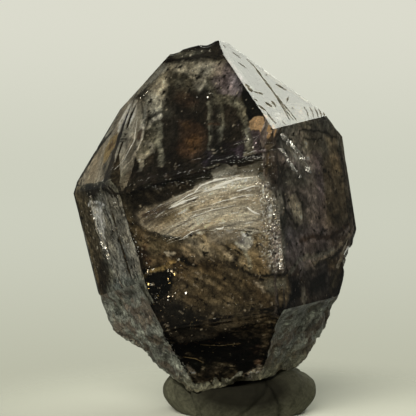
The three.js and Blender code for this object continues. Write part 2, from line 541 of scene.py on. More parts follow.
def crystalMaterial():
    # clear smoky quartz, rougher where it is frosted, with growth grooves; most lamp light goes through
    material, make, output = newMaterial("smokyAmethyst")
    place = attribute(make, "grown", "Vector")
    frost = attribute(make, "frost")
    groove = attribute(make, "groove")
    cloud = useGroup(make, mottle, {"Place": place, "Size": 1.1, "Contrast": 1.6})
    height = useGroup(make, growthGrooves, {"Place": place, "Spacing": 0.45, "Pits": frost})["Height"]
    strong = arithmetic(make, "MAXIMUM", groove, frost)
    raised = arithmetic(make, "MULTIPLY", height, strong)
    bump = make("Bump", {"Strength": 0.5, "Distance": 0.2 * mm, "Height": raised})
    rough = arithmetic(make, "MULTIPLY", frost, 0.5)
    uneven = arithmetic(make, "MULTIPLY", cloud["Cloud"], rough)
    total = arithmetic(make, "ADD", uneven, 0.02)
    glass = make("BsdfPrincipled", {
        "Base Color": (1, 1, 1, 1), "Roughness": total, "Transmission Weight": 1.0,
        "IOR": crystal["bending"], "Normal": bump.outputs[0],
    })
    lampLight = make("BsdfTransparent", {"Color": (*crystal["lampShare"], 1)})
    shading = make("MixShader", {0: make("LightPath").outputs["Is Shadow Ray"], 1: glass.outputs[0],
                                 2: lampLight.outputs[0]})
    sendOut(output, shading)
    addHaze(make, output)
    return material


def addHaze(make, output):
    # the smoky colour, which deepens with the way through the crystal
    absorb = make("VolumeAbsorption", {"Color": (*crystal["haze"], 1), "Density": crystal["hazeDensity"]})
    sendOut(output, absorb, "Volume")


def etchedMaterial():
    # the foot's etched skin: dull and blue-grey, with pale streaks, brown stains and dark cracks
    material, make, output = newMaterial("etchedQuartz")
    place = attribute(make, "grown", "Vector")
    slanted = make("Mapping", {"Vector": place, "Rotation": (0.3, 0.5, 0.2), "Scale": (1, 1, 0.4)})
    slanted = slanted.outputs[0]
    cloud = useGroup(make, mottle, {"Place": slanted, "Size": 2.4, "Contrast": 3.0})
    streak = useGroup(make, mottle, {"Place": slanted, "Size": 0.8, "Contrast": 3.0})
    rock = useGroup(make, mottle, {"Place": place, "Size": 3.2, "Contrast": 4.0})
    base = blend(make, cloud["Cloud"], *crystal["etchedTones"])
    stained = blend(make, ramp(make, rock["Cloud"], 0.45, 0.8, 0, 0.85), base, crystal["etchedBrown"])
    height = make("SeparateXYZ", {0: place}).outputs["Z"]
    low = ramp(make, height, -26.0, -30.0, 0, 0.8)  # mm along the crystal
    stained = blend(make, low, stained, crystal["etchedLow"])
    fleck = ramp(make, streak["Cloud"], 0, 1, 0.45, 1.6)
    grit = ramp(make, streak["Grit"], 0, 1, 0.65, 1.35)
    both = arithmetic(make, "MULTIPLY", fleck, grit)
    flecked = make("VectorMath", {0: stained, 3: both}, operation="SCALE").outputs[0]
    # cracks run where the grit passes its middle value
    off = arithmetic(make, "ABSOLUTE", arithmetic(make, "SUBTRACT", cloud["Grit"], 0.5))
    lined = blend(make, ramp(make, off, 0.02, 0.09), crystal["etchedCracks"], flecked)
    raised = arithmetic(make, "ADD", streak["Cloud"], streak["Grit"])
    bump = make("Bump", {"Strength": 0.8, "Distance": 0.3 * mm, "Height": raised})
    skin = make("BsdfPrincipled", {
        "Base Color": lined, "Roughness": 0.45, "Transmission Weight": 0.12,
        "IOR": crystal["bending"], "Normal": bump.outputs[0],
    })
    sendOut(output, skin)
    addHaze(make, output)
    return material


def makeCrystal():
    # material 0 is clear and 1, the etched skin, covers the frosted triangles
    surface = welded(crystalSurface())
    triangles = surface["triangles"]
    piece = makePiece("amethystHead", wornSurface(surface), triangles, crystalMaterial(), "smoky_amethyst")
    mesh = piece.data
    mesh.materials.append(etchedMaterial())
    mesh.polygons.foreach_set("material_index", (surface["frost"] > 0.5).astype(np.int32))
    for name in ("frost", "groove"):
        addValues(mesh, name, np.repeat(surface[name], 3), "CORNER")
    mesh.set_sharp_from_angle(angle=math.radians(crystal["sharpFrom"]))
    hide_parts("crystal")
    ends = np.sort(np.stack([triangles, np.roll(triangles, -1, 1)], -1).reshape(-1, 2), 1)
    counts = np.unique(ends, axis=0, return_counts=True)[1]
    print("crystal triangles", len(triangles), "edges not shared by two", (counts != 2).sum())


makeCrystal()
print("crystal made")


tones = {  # colours of the veils, stains and fills, from pale to dark
    "white": (0.92, 0.90, 0.84),
    "pearl": (0.70, 0.64, 0.52),
    "cream": (0.50, 0.43, 0.32),
    "beige": (0.41, 0.34, 0.24),
    "stone": (0.31, 0.29, 0.235),
    "grey": (0.24, 0.225, 0.165),
    "ash": (0.13, 0.12, 0.085),
    "soot": (0.055, 0.050, 0.036),
    "umber": (0.018, 0.014, 0.009),
    "black": (0.003, 0.003, 0.002),
    "slate": (0.19, 0.205, 0.18),
    "lavender": (0.215, 0.18, 0.19),
    "mauve": (0.15, 0.11, 0.115),
    "purple": (0.032, 0.023, 0.030),
    "dusk": (0.37, 0.30, 0.255),
    "amber": (0.55, 0.34, 0.17),
    "gold": (0.45, 0.32, 0.13),
    "orange": (0.11, 0.060, 0.025),
    "rust": (0.055, 0.032, 0.018),
    "olive": (0.27, 0.205, 0.115),
    "moss": (0.12, 0.095, 0.055),
    "brown": (0.085, 0.062, 0.034),
    "bark": (0.038, 0.029, 0.017),
}

silk = {  # how the front face's silk lies
    "middle": 3.5,  # mm across the face, where its threads arch highest
    "top": 4.35,  # mm up the face, the highest thread
    "bend": 0.019,  # mm down for each square mm across
    "threads": 90,
    "starts": (-8, 7),  # mm across the face, where they start
    "lengths": (1.5, 7),  # mm
    "rightEnd": 9.6,  # mm across the face, where the last ones end
    "drops": (0.15, 8.15),  # mm under the arch, most of them near it
    "halves": (0.015, 0.045),  # mm, half their width
}


def area(tone, cover, points, soft=1.0):
    return {"tone": tone, "cover": cover, "points": points, "soft": soft, "half": None}


def line(tone, cover, points, half=0.2, soft=0.35):
    return {"tone": tone, "cover": cover, "points": points, "soft": soft, "half": half}


def patchMask(spots, patch):
    # 1 inside an area or near a line, falling to 0 over its soft border
    points = np.array(patch["points"], float)
    if patch["half"] is None:
        gap = distanceToBorder(spots, points)
        signed = np.where(insideOutline(spots, points), gap, -gap)
        return smoothStep(-patch["soft"] / 2, patch["soft"] / 2, signed)
    gap = distanceToPath(spots, points)
    return 1 - smoothStep(patch["half"], patch["half"] + patch["soft"], gap)


def tinted(spots, patches, seed, ragged=0.35):
    # patches laid one over another at spots pushed about by noise; returns the tint and how much it covers
    flat, waves = atLevel(spots, seed * 3.7), 1.6  # mm
    push = np.stack([layeredNoise(flat, waves, seed + k, octaves=4, fade=0.7) for k in (0, 10)], 1)
    spots = spots + push * ragged * 2
    tint = np.zeros((len(spots), 3)) + tones[patches[0]["tone"]]
    cover = np.zeros(len(spots))
    for patch in patches:
        weight = (patchMask(spots, patch) * patch["cover"])[:, None]
        tint += (np.array(tones[patch["tone"]]) - tint) * weight
        cover += (1 - cover) * weight[:, 0]
    return tint, cover


def strongest(values, share, soft=0.10):
    # 1 over the given share of the highest values, 0 elsewhere, with a soft step between
    if not share:
        return np.zeros(len(values))
    edge = np.quantile(values, 1 - share)
    return smoothStep(edge, edge + soft, values)


veilNoises = {  # of each effect: its size as a share of the look's, and its octaves
    "broad": (2.2, 3), "close": (0.7, 3), "vein": (1.8, 3), "fleck": (0.45, 2), "pit": (0.6, 3),
    "gap": (1.5, 3), "hue": (4, 2),
}
pitTone = np.array(tones["umber"]) * 0.4  # darker than umber


def weathered(spots, tint, cover, look, seed):
    # the tint times e to the power of the mottling, less its thin dark veins, warmer or colder by its hue;
    # then pale flecks and dark pits over it, and gaps in its cover. Each effect has its own noise over spots
    # that are turned and squeezed into streaks; bend makes the streaks follow an arch, as the silk's do
    turn = math.radians(look["slope"])
    along = spots @ [math.cos(turn), math.sin(turn)]
    across = spots @ [-math.sin(turn), math.cos(turn)] + look["bend"] * (spots[:, 0] - silk["middle"]) ** 2
    field = atLevel(np.c_[along / look["stretch"], across], seed * 9.1)
    noise = {name: layeredNoise(field, look["size"] * size, seed * 20 + k, octaves, 0.7)
             for k, (name, (size, octaves)) in enumerate(veilNoises.items())}
    fine = layeredNoise(atLevel(spots, seed), 0.34, seed * 20 + 9, 2)
    vein = 1 - smoothStep(0.01, 0.06, np.abs(noise["vein"]))
    pale, dark = strongest(noise["fleck"], look["flecks"]), strongest(noise["pit"], look["pits"])
    swing = look["contrast"] * (1.5 * noise["broad"] + 2.2 * noise["close"]) + look["grit"] * fine
    shade = np.exp(swing) * (1 - look["veins"] * vein)
    tint = tint * shade[:, None] * np.exp(noise["hue"][:, None] * [0.12, 0.0, -0.18])
    tint += (np.array(tones[look["fleckTone"]]) - tint) * pale[:, None]
    tint += (pitTone - tint) * dark[:, None]
    solid = np.minimum(1, cover * 1.6)
    cover = cover * (1 - 0.85 * strongest(noise["gap"], look["gaps"], 0.2))
    return np.minimum(tint, 0.93), np.maximum(cover, solid * np.maximum(pale, dark))


def makeVeilMaterial():
    # a thin veil: light scattered from its front and let through from behind, over fine grit
    material, make, output = newMaterial("innerVeil")
    place = attribute(make, "grown", "Vector")
    grit = useGroup(make, mottle, {"Place": place, "Size": 1.0, "Contrast": 3.0})["Grit"]
    tint = attribute(make, "tint", "Vector")
    tint = make("VectorMath", {0: tint, 3: ramp(make, grit, 0, 1, 0.6, 1.4)}, operation="SCALE").outputs[0]
    bump = make("Bump", {"Strength": 0.8, "Distance": 0.3 * mm, "Height": grit}).outputs[0]
    front = make("BsdfPrincipled", {"Base Color": tint, "Roughness": 0.45, "IOR": 1.15, "Normal": bump})
    through = make("BsdfTranslucent", {"Color": tint})
    both = make("MixShader", {0: 0.3, 1: front.outputs[0], 2: through.outputs[0]})
    clear = make("BsdfTransparent")
    mixed = make("MixShader", {0: attribute(make, "cover"), 1: clear.outputs[0], 2: both.outputs[0]})
    sendOut(output, mixed)
    return material


def onFace(plane, spots, level):
    # points at spots mm across and up a face, each at its level, mm from the crystal's centre towards it
    return spots[:, :1] * plane["right"] + spots[:, 1:] * plane["up"] + plane["normal"] * level[:, None]


def patchRange(patches):
    # the lowest and highest corners of their points, with 1 mm to spare
    corners = np.concatenate([np.array(p["points"], float) for p in patches])
    return corners.min(0) - 1, corners.max(0) + 1


def gridQuads(index):
    # the quads of a grid of point numbers
    return np.stack([index[:-1, :-1], index[:-1, 1:], index[1:, 1:], index[1:, :-1]], -1).reshape(-1, 4)


def makeSheet(name, face, depth, look, patches, own, material, seed):
    # a sheet parallel to a face, s mm across and t mm up it, sunk by its depth and by the relief, and less
    # by rise for each mm below riseFrom; it is kept where it is painted, lies in the crystal and t is
    # below its top
    plane, values = planes[face], {**sheet, **own}
    step = values["step"]
    low, high = patchRange(patches)
    s = np.arange(low[0], high[0] + step, step)
    t = np.arange(low[1], high[1] + step, step)
    gs, gt = np.meshgrid(s, t)
    spots = np.stack([gs.ravel(), gt.ravel()], 1)
    relief = layeredNoise(atLevel(spots, seed * 5.1), values["swell"], seed + 40, octaves=5, fade=0.6)
    sunk = depth + values["relief"] * relief
    sunk = sunk + values["rise"] * np.minimum(0, spots[:, 1] - values["riseFrom"])
    points = onFace(plane, spots, plane["reach"] - sunk)
    over, _ = beyondWalls(points, clearance["veil"])
    points = heldInside(points, clearance["veil"])
    tint, cover = tinted(spots, patches, seed)
    tint, cover = weathered(spots, tint, cover, dict(zip(lookParts, veilLooks[look])), seed)
    quads = gridQuads(np.arange(len(spots)).reshape(gs.shape))
    kept = (cover[quads].max(1) > 0.01) & (over[quads].max(1) < values["spill"])
    kept &= spots[quads, 1].max(1) < values["top"]
    used, quads = np.unique(quads[kept], return_inverse=True)
    piece = makePiece(name, points[used], quads.reshape(-1, 4), material, "smoky_amethyst")
    addValues(piece.data, "tint", tint[used])
    addValues(piece.data, "cover", cover[used])
    return len(quads)


silkPatches = [
    area("beige", 1.0, [(-11.3, 1.7), (-9, 2.1), (-6.4, 2.6), (-2.8, 3.5), (0.8, 4.7), (4.2, 4.8), (9.3, 4),
                        (10.4, 2), (10.6, -3), (9.6, -5.4), (8.4, -5.1), (5.7, -4.3), (3.7, -3.6),
                        (0.9, -3.1), (-2.5, -3.2), (-4.6, -3.8), (-7.5, -2.6), (-10.2, -1.4),
                        (-10.8, -0.2)], 0.4),
    area("cream", 0.9, [(-5.6, 2.1), (-2.1, 2.9), (0.9, 4.3), (4.1, 4.5), (9.3, 3.5), (9.6, 0), (9, -3),
                        (6, -2.5), (0, -1.5), (-5, -1)], 1.2),
    area("pearl", 0.7, [(-3, 2.3), (1, 3.9), (4.1, 4.2), (9.2, 3.5), (9, 2.2), (6, 2.3), (1, 2.2)], 0.9),
    area("pearl", 0.6, [(-4, -3), (0, -3), (4, -3.6), (8, -5), (8.6, -2), (3, -0.8), (-2, -1)], 1.2),
    area("brown", 0.75, [(-11.4, 1.8), (-8, 2.2), (-5, 1.9), (-4.4, 0.6), (-6.5, -0.8),
                         (-10.3, -0.9)], 1.8),
    area("moss", 0.7, [(-7.4, 0.5), (-5, 0.8), (-3.6, 0), (-5, -1), (-7, -0.9)], 0.8),
    area("moss", 0.8, [(-2.7, 1.3), (-1.8, 1), (-2.1, -0.1), (-2.9, 0.3)], 0.4),
    area("moss", 0.5, [(2.5, 1.8), (3.4, 1.7), (4.2, 0.6), (3.1, 0.3)], 0.7),
    line("brown", 0.7, [(-4.8, 1.9), (-2.6, 2.5), (-0.5, 2.9)], 0.05, 0.3),
    line("rust", 0.7, [(-10.5, 1.2), (-6.5, 1.5)], 0.1, 0.35),
    line("umber", 0.8, [(-3.4, 1.8), (-1, 2.1)], 0.05, 0.15),
    area("beige", 0.6, [(-0.3, -3.2), (4.9, -4.2), (4.4, -6.2), (-0.8, -5.4)], 0.8),
    area("stone", 0.85, [(2.1, 6.3), (4, 6.6), (6.4, 6.4), (6.8, 5.3), (5.3, 4.6), (2.3, 4.9)], 0.3),
    area("stone", 0.7, [(6.1, 5.3), (7.8, 5.5), (9.8, 4.9), (9.5, 4), (7, 4.2)], 0.3),
]

brownPatches = [
    area("bark", 1.0, [(-15, 7), (-11, 5.8), (-3, 5.8), (-1.5, 4), (-8, 2), (-10.8, 0.5), (-10.6, -3),
                       (-11, -6.6), (-13, -10), (-15, -7)], 1.2),
    area("umber", 0.9, [(-15, 5), (-11.5, 4), (-4, 4.6), (-2, 4.2), (-7, 2.6), (-11.6, 1.9),
                        (-13.8, 3)], 1.0),
    area("moss", 0.75, [(-15.5, 7), (-12.2, 6), (-12, 1), (-12.2, -3), (-15, -3)], 1.6),
    line("umber", 0.95, [(-11.4, 1.4), (-11.3, -0.2)], 0.35, 0.6),
    line("umber", 0.95, [(-11, -2.6), (-10.9, -5.6)], 0.35, 0.6),
    area("moss", 0.95, [(-10.5, -2.2), (-5.1, -3.6), (-5.3, -6), (-6.8, -5.4), (-9.3, -5.9),
                        (-11.1, -4.6)], 1.2),
    area("olive", 1.0, [(-4.7, -3.5), (-1.7, -2.9), (2, -3), (6.1, -4.6), (8.2, -5), (10, -5.5), (8.5, -9),
                        (8.2, -12.7), (5, -11.9), (3, -9.8), (0, -8), (-3.4, -7.4), (-5.3, -6)], 0.8),
    area("brown", 1.0, [(-11.3, -5.8), (-7.2, -5.7), (-4.1, -6.9), (-0.1, -8.2), (3.7, -10.6), (6.9, -12.8),
                        (10.6, -13), (10, -17), (6, -19.4), (-4, -19.4), (-11, -17), (-13.5, -13)], 1.6),
    area("moss", 0.6, [(-4, -9), (3, -11.4), (5, -13), (5.4, -17), (3, -18.4), (-1, -17),
                       (-6, -12.5)], 2.4),
    area("umber", 0.95, [(-14, -11), (-11.7, -11.8), (-9.4, -12.6), (-7.2, -14.6), (-4.4, -17),
                         (-2.2, -18.6), (-2, -21), (-12, -21)], 0.9),
    area("black", 1.0, [(-12.8, -7.4), (-9.6, -7.4), (-7.6, -8.6), (-7.5, -11), (-9.1, -12.8),
                        (-12.2, -13.2), (-13.2, -10.9)], 0.8),
    area("umber", 0.9, [(8.4, -13.2), (12.6, -12.8), (12.8, -19), (6.6, -19), (7.8, -16)], 1.2),
    line("umber", 0.6, [(-1, -4.2), (1.5, -5.9), (3.3, -8.4), (3.5, -10.8)], 0.05, 0.45),
    line("beige", 0.5, [(-0.6, -4.9), (1.2, -6.4), (2.7, -8.9)], 0.1, 0.5),
    line("umber", 0.55, [(-4.5, -7.2), (-0.9, -9.3), (1.9, -12.2), (3.8, -16.2)], 0.05, 0.5),
    line("bark", 0.6, [(1.4, -9), (4.3, -11.3), (5.8, -14.6), (5.9, -17.7)], 0.1, 0.6),
    line("olive", 0.5, [(-3, -10.6), (0, -13), (1.6, -16)], 0.1, 0.6),
    area("umber", 0.8, [(2.6, -7.9), (3.7, -8.5), (3.5, -9.5), (2.5, -9.3)], 0.6),
    area("umber", 0.8, [(5.3, -10.6), (6.2, -11.2), (6, -12.1), (5, -11.8)], 0.6),
    line("gold", 0.6, [(-13.3, -9.2), (-11.1, -8.2), (-8.5, -7.8), (-6.6, -7.5)], 0.08, 0.4),
    line("rust", 0.8, [(-11.3, -1.5), (-10.8, -3.3), (-11.7, -5.3), (-11.1, -6.6)], 0.2, 0.5),
    area("beige", 0.4, [(-4.8, -3.8), (-0.2, -4.4), (0, -7.6), (-3.5, -8.1), (-5.7, -6.5)], 1.6),
    area("moss", 0.5, [(4, -8.8), (8, -9.4), (8, -12.4), (5, -11.8)], 1.6),
    area("pearl", 1.0, [(3.5, -4.7), (4.7, -4.6), (6.6, -5.2), (6.4, -7.1), (5.2, -7.9), (4.2, -7.2),
                        (3.3, -6)], 0.5),
    area("lavender", 0.7, [(4, -5.2), (5.4, -5.6), (5.2, -6.6), (4.2, -6.3)], 0.5),
    line("grey", 0.9, [(5, -7.6), (5.2, -9.1), (5.4, -10.8)], 0.2, 0.35),
    line("pearl", 0.95, [(-4.6, -3.9), (-3.7, -3.5), (-2.3, -3.3), (-0.9, -3.6)], 0.05, 0.3),
    line("white", 0.95, [(0.7, -3.6), (1.3, -4.4), (2.5, -4.2), (3.8, -3.9)], 0.14, 0.3),
    line("pearl", 0.9, [(6.1, -4.9), (7.5, -5.3), (9, -5.5)], 0.05, 0.3),
    area("brown", 0.96, [(5.4, -12.6), (7, -12.9), (10.6, -13), (10.4, -16), (9, -17.6), (6.9, -17.4),
                         (5.2, -16.2)], 0.7),
    area("ash", 0.9, [(6.5, -13.3), (9.8, -13.4), (9.6, -15), (7.6, -15.6)], 1.2),
    line("black", 0.95, [(4, -10.6), (5.5, -12), (7, -12.7), (9, -12.9), (10.5, -12.8)], 0.08, 0.3),
    line("cream", 0.8, [(5.7, -13.4), (6.4, -14.1), (6.7, -15)], 0.05, 0.4),
    area("pearl", 0.95, [(-8.2, -5.7), (-7.5, -5.4), (-6.3, -6.1), (-6.8, -6.5), (-7.9, -6.3)], 0.25),
    line("black", 0.95, [(-5.6, -7.3), (-4.8, -8.1), (-3.6, -8.6)], 0.25, 0.3),
    area("olive", 0.5, [(-12.3, -0.6), (-9.6, -0.8), (-10.3, -4), (-12.6, -3.6)], 1.0),
    area("umber", 0.35, [(-3, -5.7), (1.8, -6.6), (1.4, -8.7), (-3.4, -7.8)], 1.0),
    area("umber", 0.3, [(-6.4, -9.7), (0.9, -11.3), (-0.4, -15.1), (-6.9, -13.8)], 1.4),
    area("black", 0.6, [(-13.6, -7.8), (-11.1, -8.2), (-11.7, -10.8), (-13.8, -10.4)], 0.8),
    area("umber", 0.5, [(2.6, -13.7), (5.5, -14.2), (5.1, -16.7), (2.1, -16.1)], 1.0),
    area("black", 0.45, [(-10, -14.5), (-3, -15), (0.5, -16.3), (-0.6, -20), (-10.4, -19)], 1.4),
]

rightBorderPatches = [
    area("beige", 0.6, [(9, 2.4), (11, 2.8), (11.4, -1), (11.2, -6), (10.6, -12.2), (8.2, -11.6), (7.6, -9),
                        (8.4, -5), (9, 0)], 1.8),
    area("pearl", 0.8, [(9.6, 2.4), (10.6, 1.9), (10.9, -0.6), (10.6, -3.4), (9.8, -4), (9.4, -1)], 1.4),
    area("lavender", 0.7, [(9.8, -4.5), (11.4, -4), (10.6, -12), (9.2, -11.8)], 1.4),
]

cornerPatches = [
    area("brown", 0.8, [(12.2, 9.5), (12.9, 9.5), (12, 5.6), (11, 3.2), (10.4, 3.4), (11.2, 6)], 0.7),
    area("purple", 0.6, [(13, 10), (14, 9), (13.6, 4), (12.6, 1), (11.6, 2.4), (12.6, 6)], 0.8),
]

amberPatches = [
    area("amber", 1.0, [(11, 3), (12.6, 3.6), (13.6, 3.4), (14.9, 0.9), (14.4, -0.7), (12.9, 0.5),
                        (11.6, 1.7)], 0.25),
    area("brown", 0.5, [(11, 2.6), (12.2, 3), (12, 1.6)], 0.5),
]

lowFrontPatches = [
    area("black", 1.0, [(-12, 5), (10, 2), (9, -10), (4, -21), (-3, -22), (-10, -20)], 0.8),
    area("brown", 0.97, [(-9, 4.5), (9, 0), (8, -7), (5.5, -9), (1, -7.5), (-4, -3), (-8, -1)], 2.4),
    area("moss", 0.9, [(-4, 4), (9, 0), (8.5, -5.5), (6.5, -7.5), (3, -6), (-1.5, -1)], 2.0),
    line("rust", 0.6, [(-8.3, -7.1), (-3.4, -7.9), (1.3, -9.7)], 0.05, 0.45),
    line("moss", 0.9, [(-7.7, -9.7), (-6.6, -10.5), (-5.4, -12.1)], 0.10, 0.35),
    area("rust", 0.9, [(2.7, -11.1), (4.2, -10.5), (4.7, -12.1), (3.4, -12.7)], 0.9),
    area("rust", 0.9, [(2.6, -14.5), (4.1, -13.9), (3.6, -16.3), (2.5, -16.2)], 0.7),
    line("bark", 0.9, [(-10, -3), (-9.5, -5.3), (-8.5, -5.5)], 0.5, 0.8),
    line("bark", 0.8, [(-8, -14), (-7, -15.6), (-5.5, -16)], 0.3, 0.6),
    area("bark", 0.95, [(-7.3, -16.5), (-5.8, -13.4), (-3.8, -13.1), (-1.4, -14), (-0.4, -16.6),
                        (-0.1, -18.8), (-3, -19.5)], 0.6),
    line("moss", 0.95, [(-7, -15.8), (-5.8, -13.6), (-3.8, -13.3), (-1.4, -14.2),
                        (-0.6, -16.6)], 0.12, 0.5),
    line("brown", 0.9, [(5.9, -6.2), (6.5, -8.9), (4.8, -12.6)], 0.3, 0.8),
    line("beige", 0.95, [(-9.7, -10.6), (-8.8, -13.6), (-7.8, -16.9), (-5.9, -18.9), (-3.3, -18.7),
                         (-0.7, -18.7), (1.6, -17.6), (3.4, -16.4)], 0.45, 0.7),
]

tipNearPatches = [
    area("umber", 1.0, [(-15, -4), (-12.5, 2.5), (-9.7, 10), (-7.5, 12.5), (-2.5, 20), (8, 17.5), (15, 1),
                        (13, -9), (3, -10), (-8, -10), (-16, -7)], 0.6),
    area("soot", 0.97, [(-5.6, 17.6), (-2.4, 20), (8, 18), (10.3, 11), (9, 8.5), (5, 10.5), (1, 12),
                        (-2.4, 8), (-4, 8.4), (-7.5, 9.5), (-7.4, 13)], 1.6),
    area("stone", 0.97, [(-2.4, 19), (0.5, 19.3), (4.9, 18.4), (7.3, 17.2), (7.6, 16), (5.6, 15), (3, 15),
                         (0.4, 16.4), (-1.6, 17)], 1.4),
    area("stone", 0.95, [(0.8, 16.4), (3.9, 15.2), (4.2, 13), (2.9, 11.9), (1.7, 13.3)], 1.1),
    area("lavender", 0.95, [(5.9, 17), (7.9, 16.7), (9.9, 11.8), (10.4, 9.6), (8.6, 9), (6.4, 10.6),
                            (5.4, 13.4)], 1.5),
    area("purple", 0.6, [(6.6, 15), (8, 14), (8.6, 11.6), (7, 11.6)], 1.2),
    area("stone", 0.9, [(-5.4, 17.2), (-3.6, 18.2), (-2.5, 18), (-2.8, 14.7), (-3.2, 11.5), (-4.3, 9.4),
                        (-5.9, 9), (-7, 10), (-6.8, 12.8), (-6.4, 14.8)], 1.5),
    area("umber", 0.85, [(-2.3, 15.6), (0.2, 15.4), (1.2, 12.9), (4, 11.2), (3.5, 7.3), (1.1, 7.9),
                         (-2.1, 7.5), (-2.9, 10.5)], 1.6),
    area("ash", 0.7, [(-1.6, 15.4), (0.8, 14.8), (2.2, 12.6), (0.4, 11), (-1.4, 12)], 1.2),
    area("rust", 0.8, [(-1.4, 13.4), (1.2, 12), (2.6, 9.4), (0.4, 9), (-1.2, 10.6)], 1.6),
    area("bark", 0.9, [(-12.4, 3.4), (-10.4, 2.8), (-8.8, 0.3), (-8.4, -4), (-9.8, -5.7),
                       (-13.3, -4.5)], 1.4),
    area("rust", 0.9, [(-1.1, 6.4), (1.4, 6), (3.4, 4.4), (4, 2.2), (3.6, -0.7), (1.8, -2.3), (-0.3, -1.4),
                       (-1.6, 0.6), (-0.8, 3.4)], 1.2),
    area("orange", 0.8, [(0, 2.6), (2, 3), (3, 1.6), (2.8, -0.4), (1.2, -0.6), (0.2, 0.8)], 1.2),
    area("orange", 0.8, [(-0.4, 5.6), (0.6, 6), (1, 4.6), (0, 4.6)], 0.6),
    area("purple", 0.95, [(5.2, 0.8), (7.8, -0.6), (10.6, -0.6), (11.2, -4), (9.4, -5.6), (6.3, -5),
                          (3.8, -4.8), (2.9, -2.6)], 1.3),
    area("ash", 0.95, [(-5.9, 8.2), (-4.5, 8.5), (-4.2, 5.5), (-5, 2.3), (-6.1, 0.3), (-7.6, 0.4),
                       (-8.8, 3.5), (-8.8, 6.2), (-7.7, 7.6)], 0.8),
    area("stone", 0.8, [(-8.2, 3.2), (-6.8, 3.8), (-5.3, 2.6), (-5.5, 0.8), (-6.9, -0.2),
                        (-7.9, 0.9)], 0.6),
    area("ash", 0.8, [(-7.4, 2.5), (-6.6, 2.8), (-5.9, 2.2), (-6.2, 1.2), (-7.1, 1.1)], 0.6),
    line("stone", 0.9, [(-8, 0.8), (-7.4, -0.6), (-7.5, -2.4)], 0.2, 0.4),
    line("grey", 0.9, [(-4.3, 6.5), (-4.5, 2.8), (-4.1, 0), (-3.8, -2.4)], 0.2, 0.6),
    line("grey", 0.7, [(-8.8, 6), (-8.8, 3.4), (-8.1, 1)], 0.05, 0.4),
    line("pearl", 0.9, [(-6.6, 6.6), (-5.6, 7.9), (-4.2, 8.5)], 0.16, 0.45),
    area("soot", 0.85, [(4.1, 9), (5.4, 9.6), (6.9, 9), (6.9, 4), (6.6, -1.4), (5.5, -2.2),
                        (4.2, -1.4)], 0.7),
    line("grey", 0.7, [(4.3, 9), (4.4, 5), (4.2, -1)], 0.04, 0.3),
    line("ash", 0.85, [(6.5, 9), (6.7, 4.5), (6.4, -1)], 0.06, 0.35),
    line("umber", 0.9, [(5.3, 8.6), (5.5, 4), (5.2, -0.6)], 0.2, 0.4),
    line("rust", 0.9, [(4.4, 4.8), (6.1, 4.3)], 0.1, 0.3),
    line("ash", 0.95, [(6.7, 9.3), (8.8, 8.6), (10, 6.8), (10.9, 4), (11.1, 0.5), (11.1, -3.6)], 0.5, 0.7),
    line("grey", 0.8, [(9.2, 8.2), (10.2, 6.6), (10.8, 4.4)], 0.08, 0.35),
    line("grey", 0.8, [(10.6, 2), (10.7, -0.5), (10.5, -3)], 0.10, 0.4),
    area("mauve", 0.95, [(11.2, 2.4), (12.7, 1.5), (14.4, -1.4), (14.6, -4.6), (13.2, -5.5), (11.7, -3),
                         (11.3, 0.1)], 0.6),
    area("umber", 0.8, [(11.8, 0.6), (13, 0), (13.8, -2.5), (13, -3.5), (12.2, -1.6)], 0.8),
    area("bark", 1.0, [(10.7, 2.9), (11.7, 3.5), (13.5, 3.4), (15.4, 3.3), (15.8, 0.7), (14.7, -0.9),
                       (13.6, 0.7), (12.2, 1.8)], 0.35),
    area("black", 1.0, [(10.3, 10.8), (12, 10), (15.5, 3.3), (11.1, 3.6), (10.6, 6.4)], 0.4),
    area("grey", 0.93, [(3.7, -4.4), (5.1, -3.9), (6.8, -4.8), (6.2, -5.9), (4.5, -5.7)], 0.4),
    area("grey", 0.93, [(6.8, -5.6), (8.7, -5.3), (9.4, -6.3), (7.9, -7)], 0.4),
    area("cream", 0.9, [(8.8, -6.2), (12.5, -7), (12.8, -8.2), (9.3, -7.4)], 0.5),
    line("brown", 0.95, [(14.4, -2), (14.2, -7)], 0.5, 0.6),
    area("umber", 0.5, [(-0.9, 16.8), (3.6, 15.6), (4, 11), (-0.6, 12.1)], 1.2),
    area("stone", 0.4, [(3.9, 17.5), (7.4, 16.8), (6.8, 14.2), (4, 14.4)], 0.9),
    area("ash", 0.6, [(4.7, 10.6), (6.8, 10.2), (6.6, 7.8), (4.6, 8.2)], 0.8),
    area("black", 0.75, [(3.8, -2.6), (5.2, -0.8), (6.7, 0.5), (8.3, -1.8), (9, -4.2), (7, -4.9),
                         (4.2, -4.5)], 0.6),
    area("purple", 0.5, [(7.3, -3.8), (10, -3.6), (13.4, -3.3), (13.3, -5.4), (10.2, -5.6),
                         (8, -5.4)], 0.7),
]

stepPatches = [
    area("umber", 1.0, [(-3.4, 15.2), (1.5, 13.7), (7.4, 12.1), (15, 9), (15, 20), (-3.4, 20)], 0.4),
    area("ash", 0.6, [(-2, 15.6), (0, 16), (3, 15.6), (4.5, 14.6), (2, 14.6), (-1, 15)], 0.7),
    area("soot", 0.85, [(-1.5, 17), (2, 17), (5, 15.8), (2, 16.2)], 0.6),
]

leftStepPatches = [
    area("stone", 1.0, [(-8, -8), (2, -8), (4, 12), (-8, 12)], 2),
    line("grey", 0.95, [(-6, -6), (-5, 0), (-4, 7)], 0.3, 0.5),
    line("umber", 0.8, [(-4.5, -6), (-3.5, 0), (-2, 6)], 0.12, 0.4),
    line("grey", 0.95, [(-3, -6), (-2.4, -1), (-1, 4)], 0.3, 0.5),
    line("gold", 0.9, [(-3, -7.5), (-2.5, -5.5)], 0.4, 0.8),
]

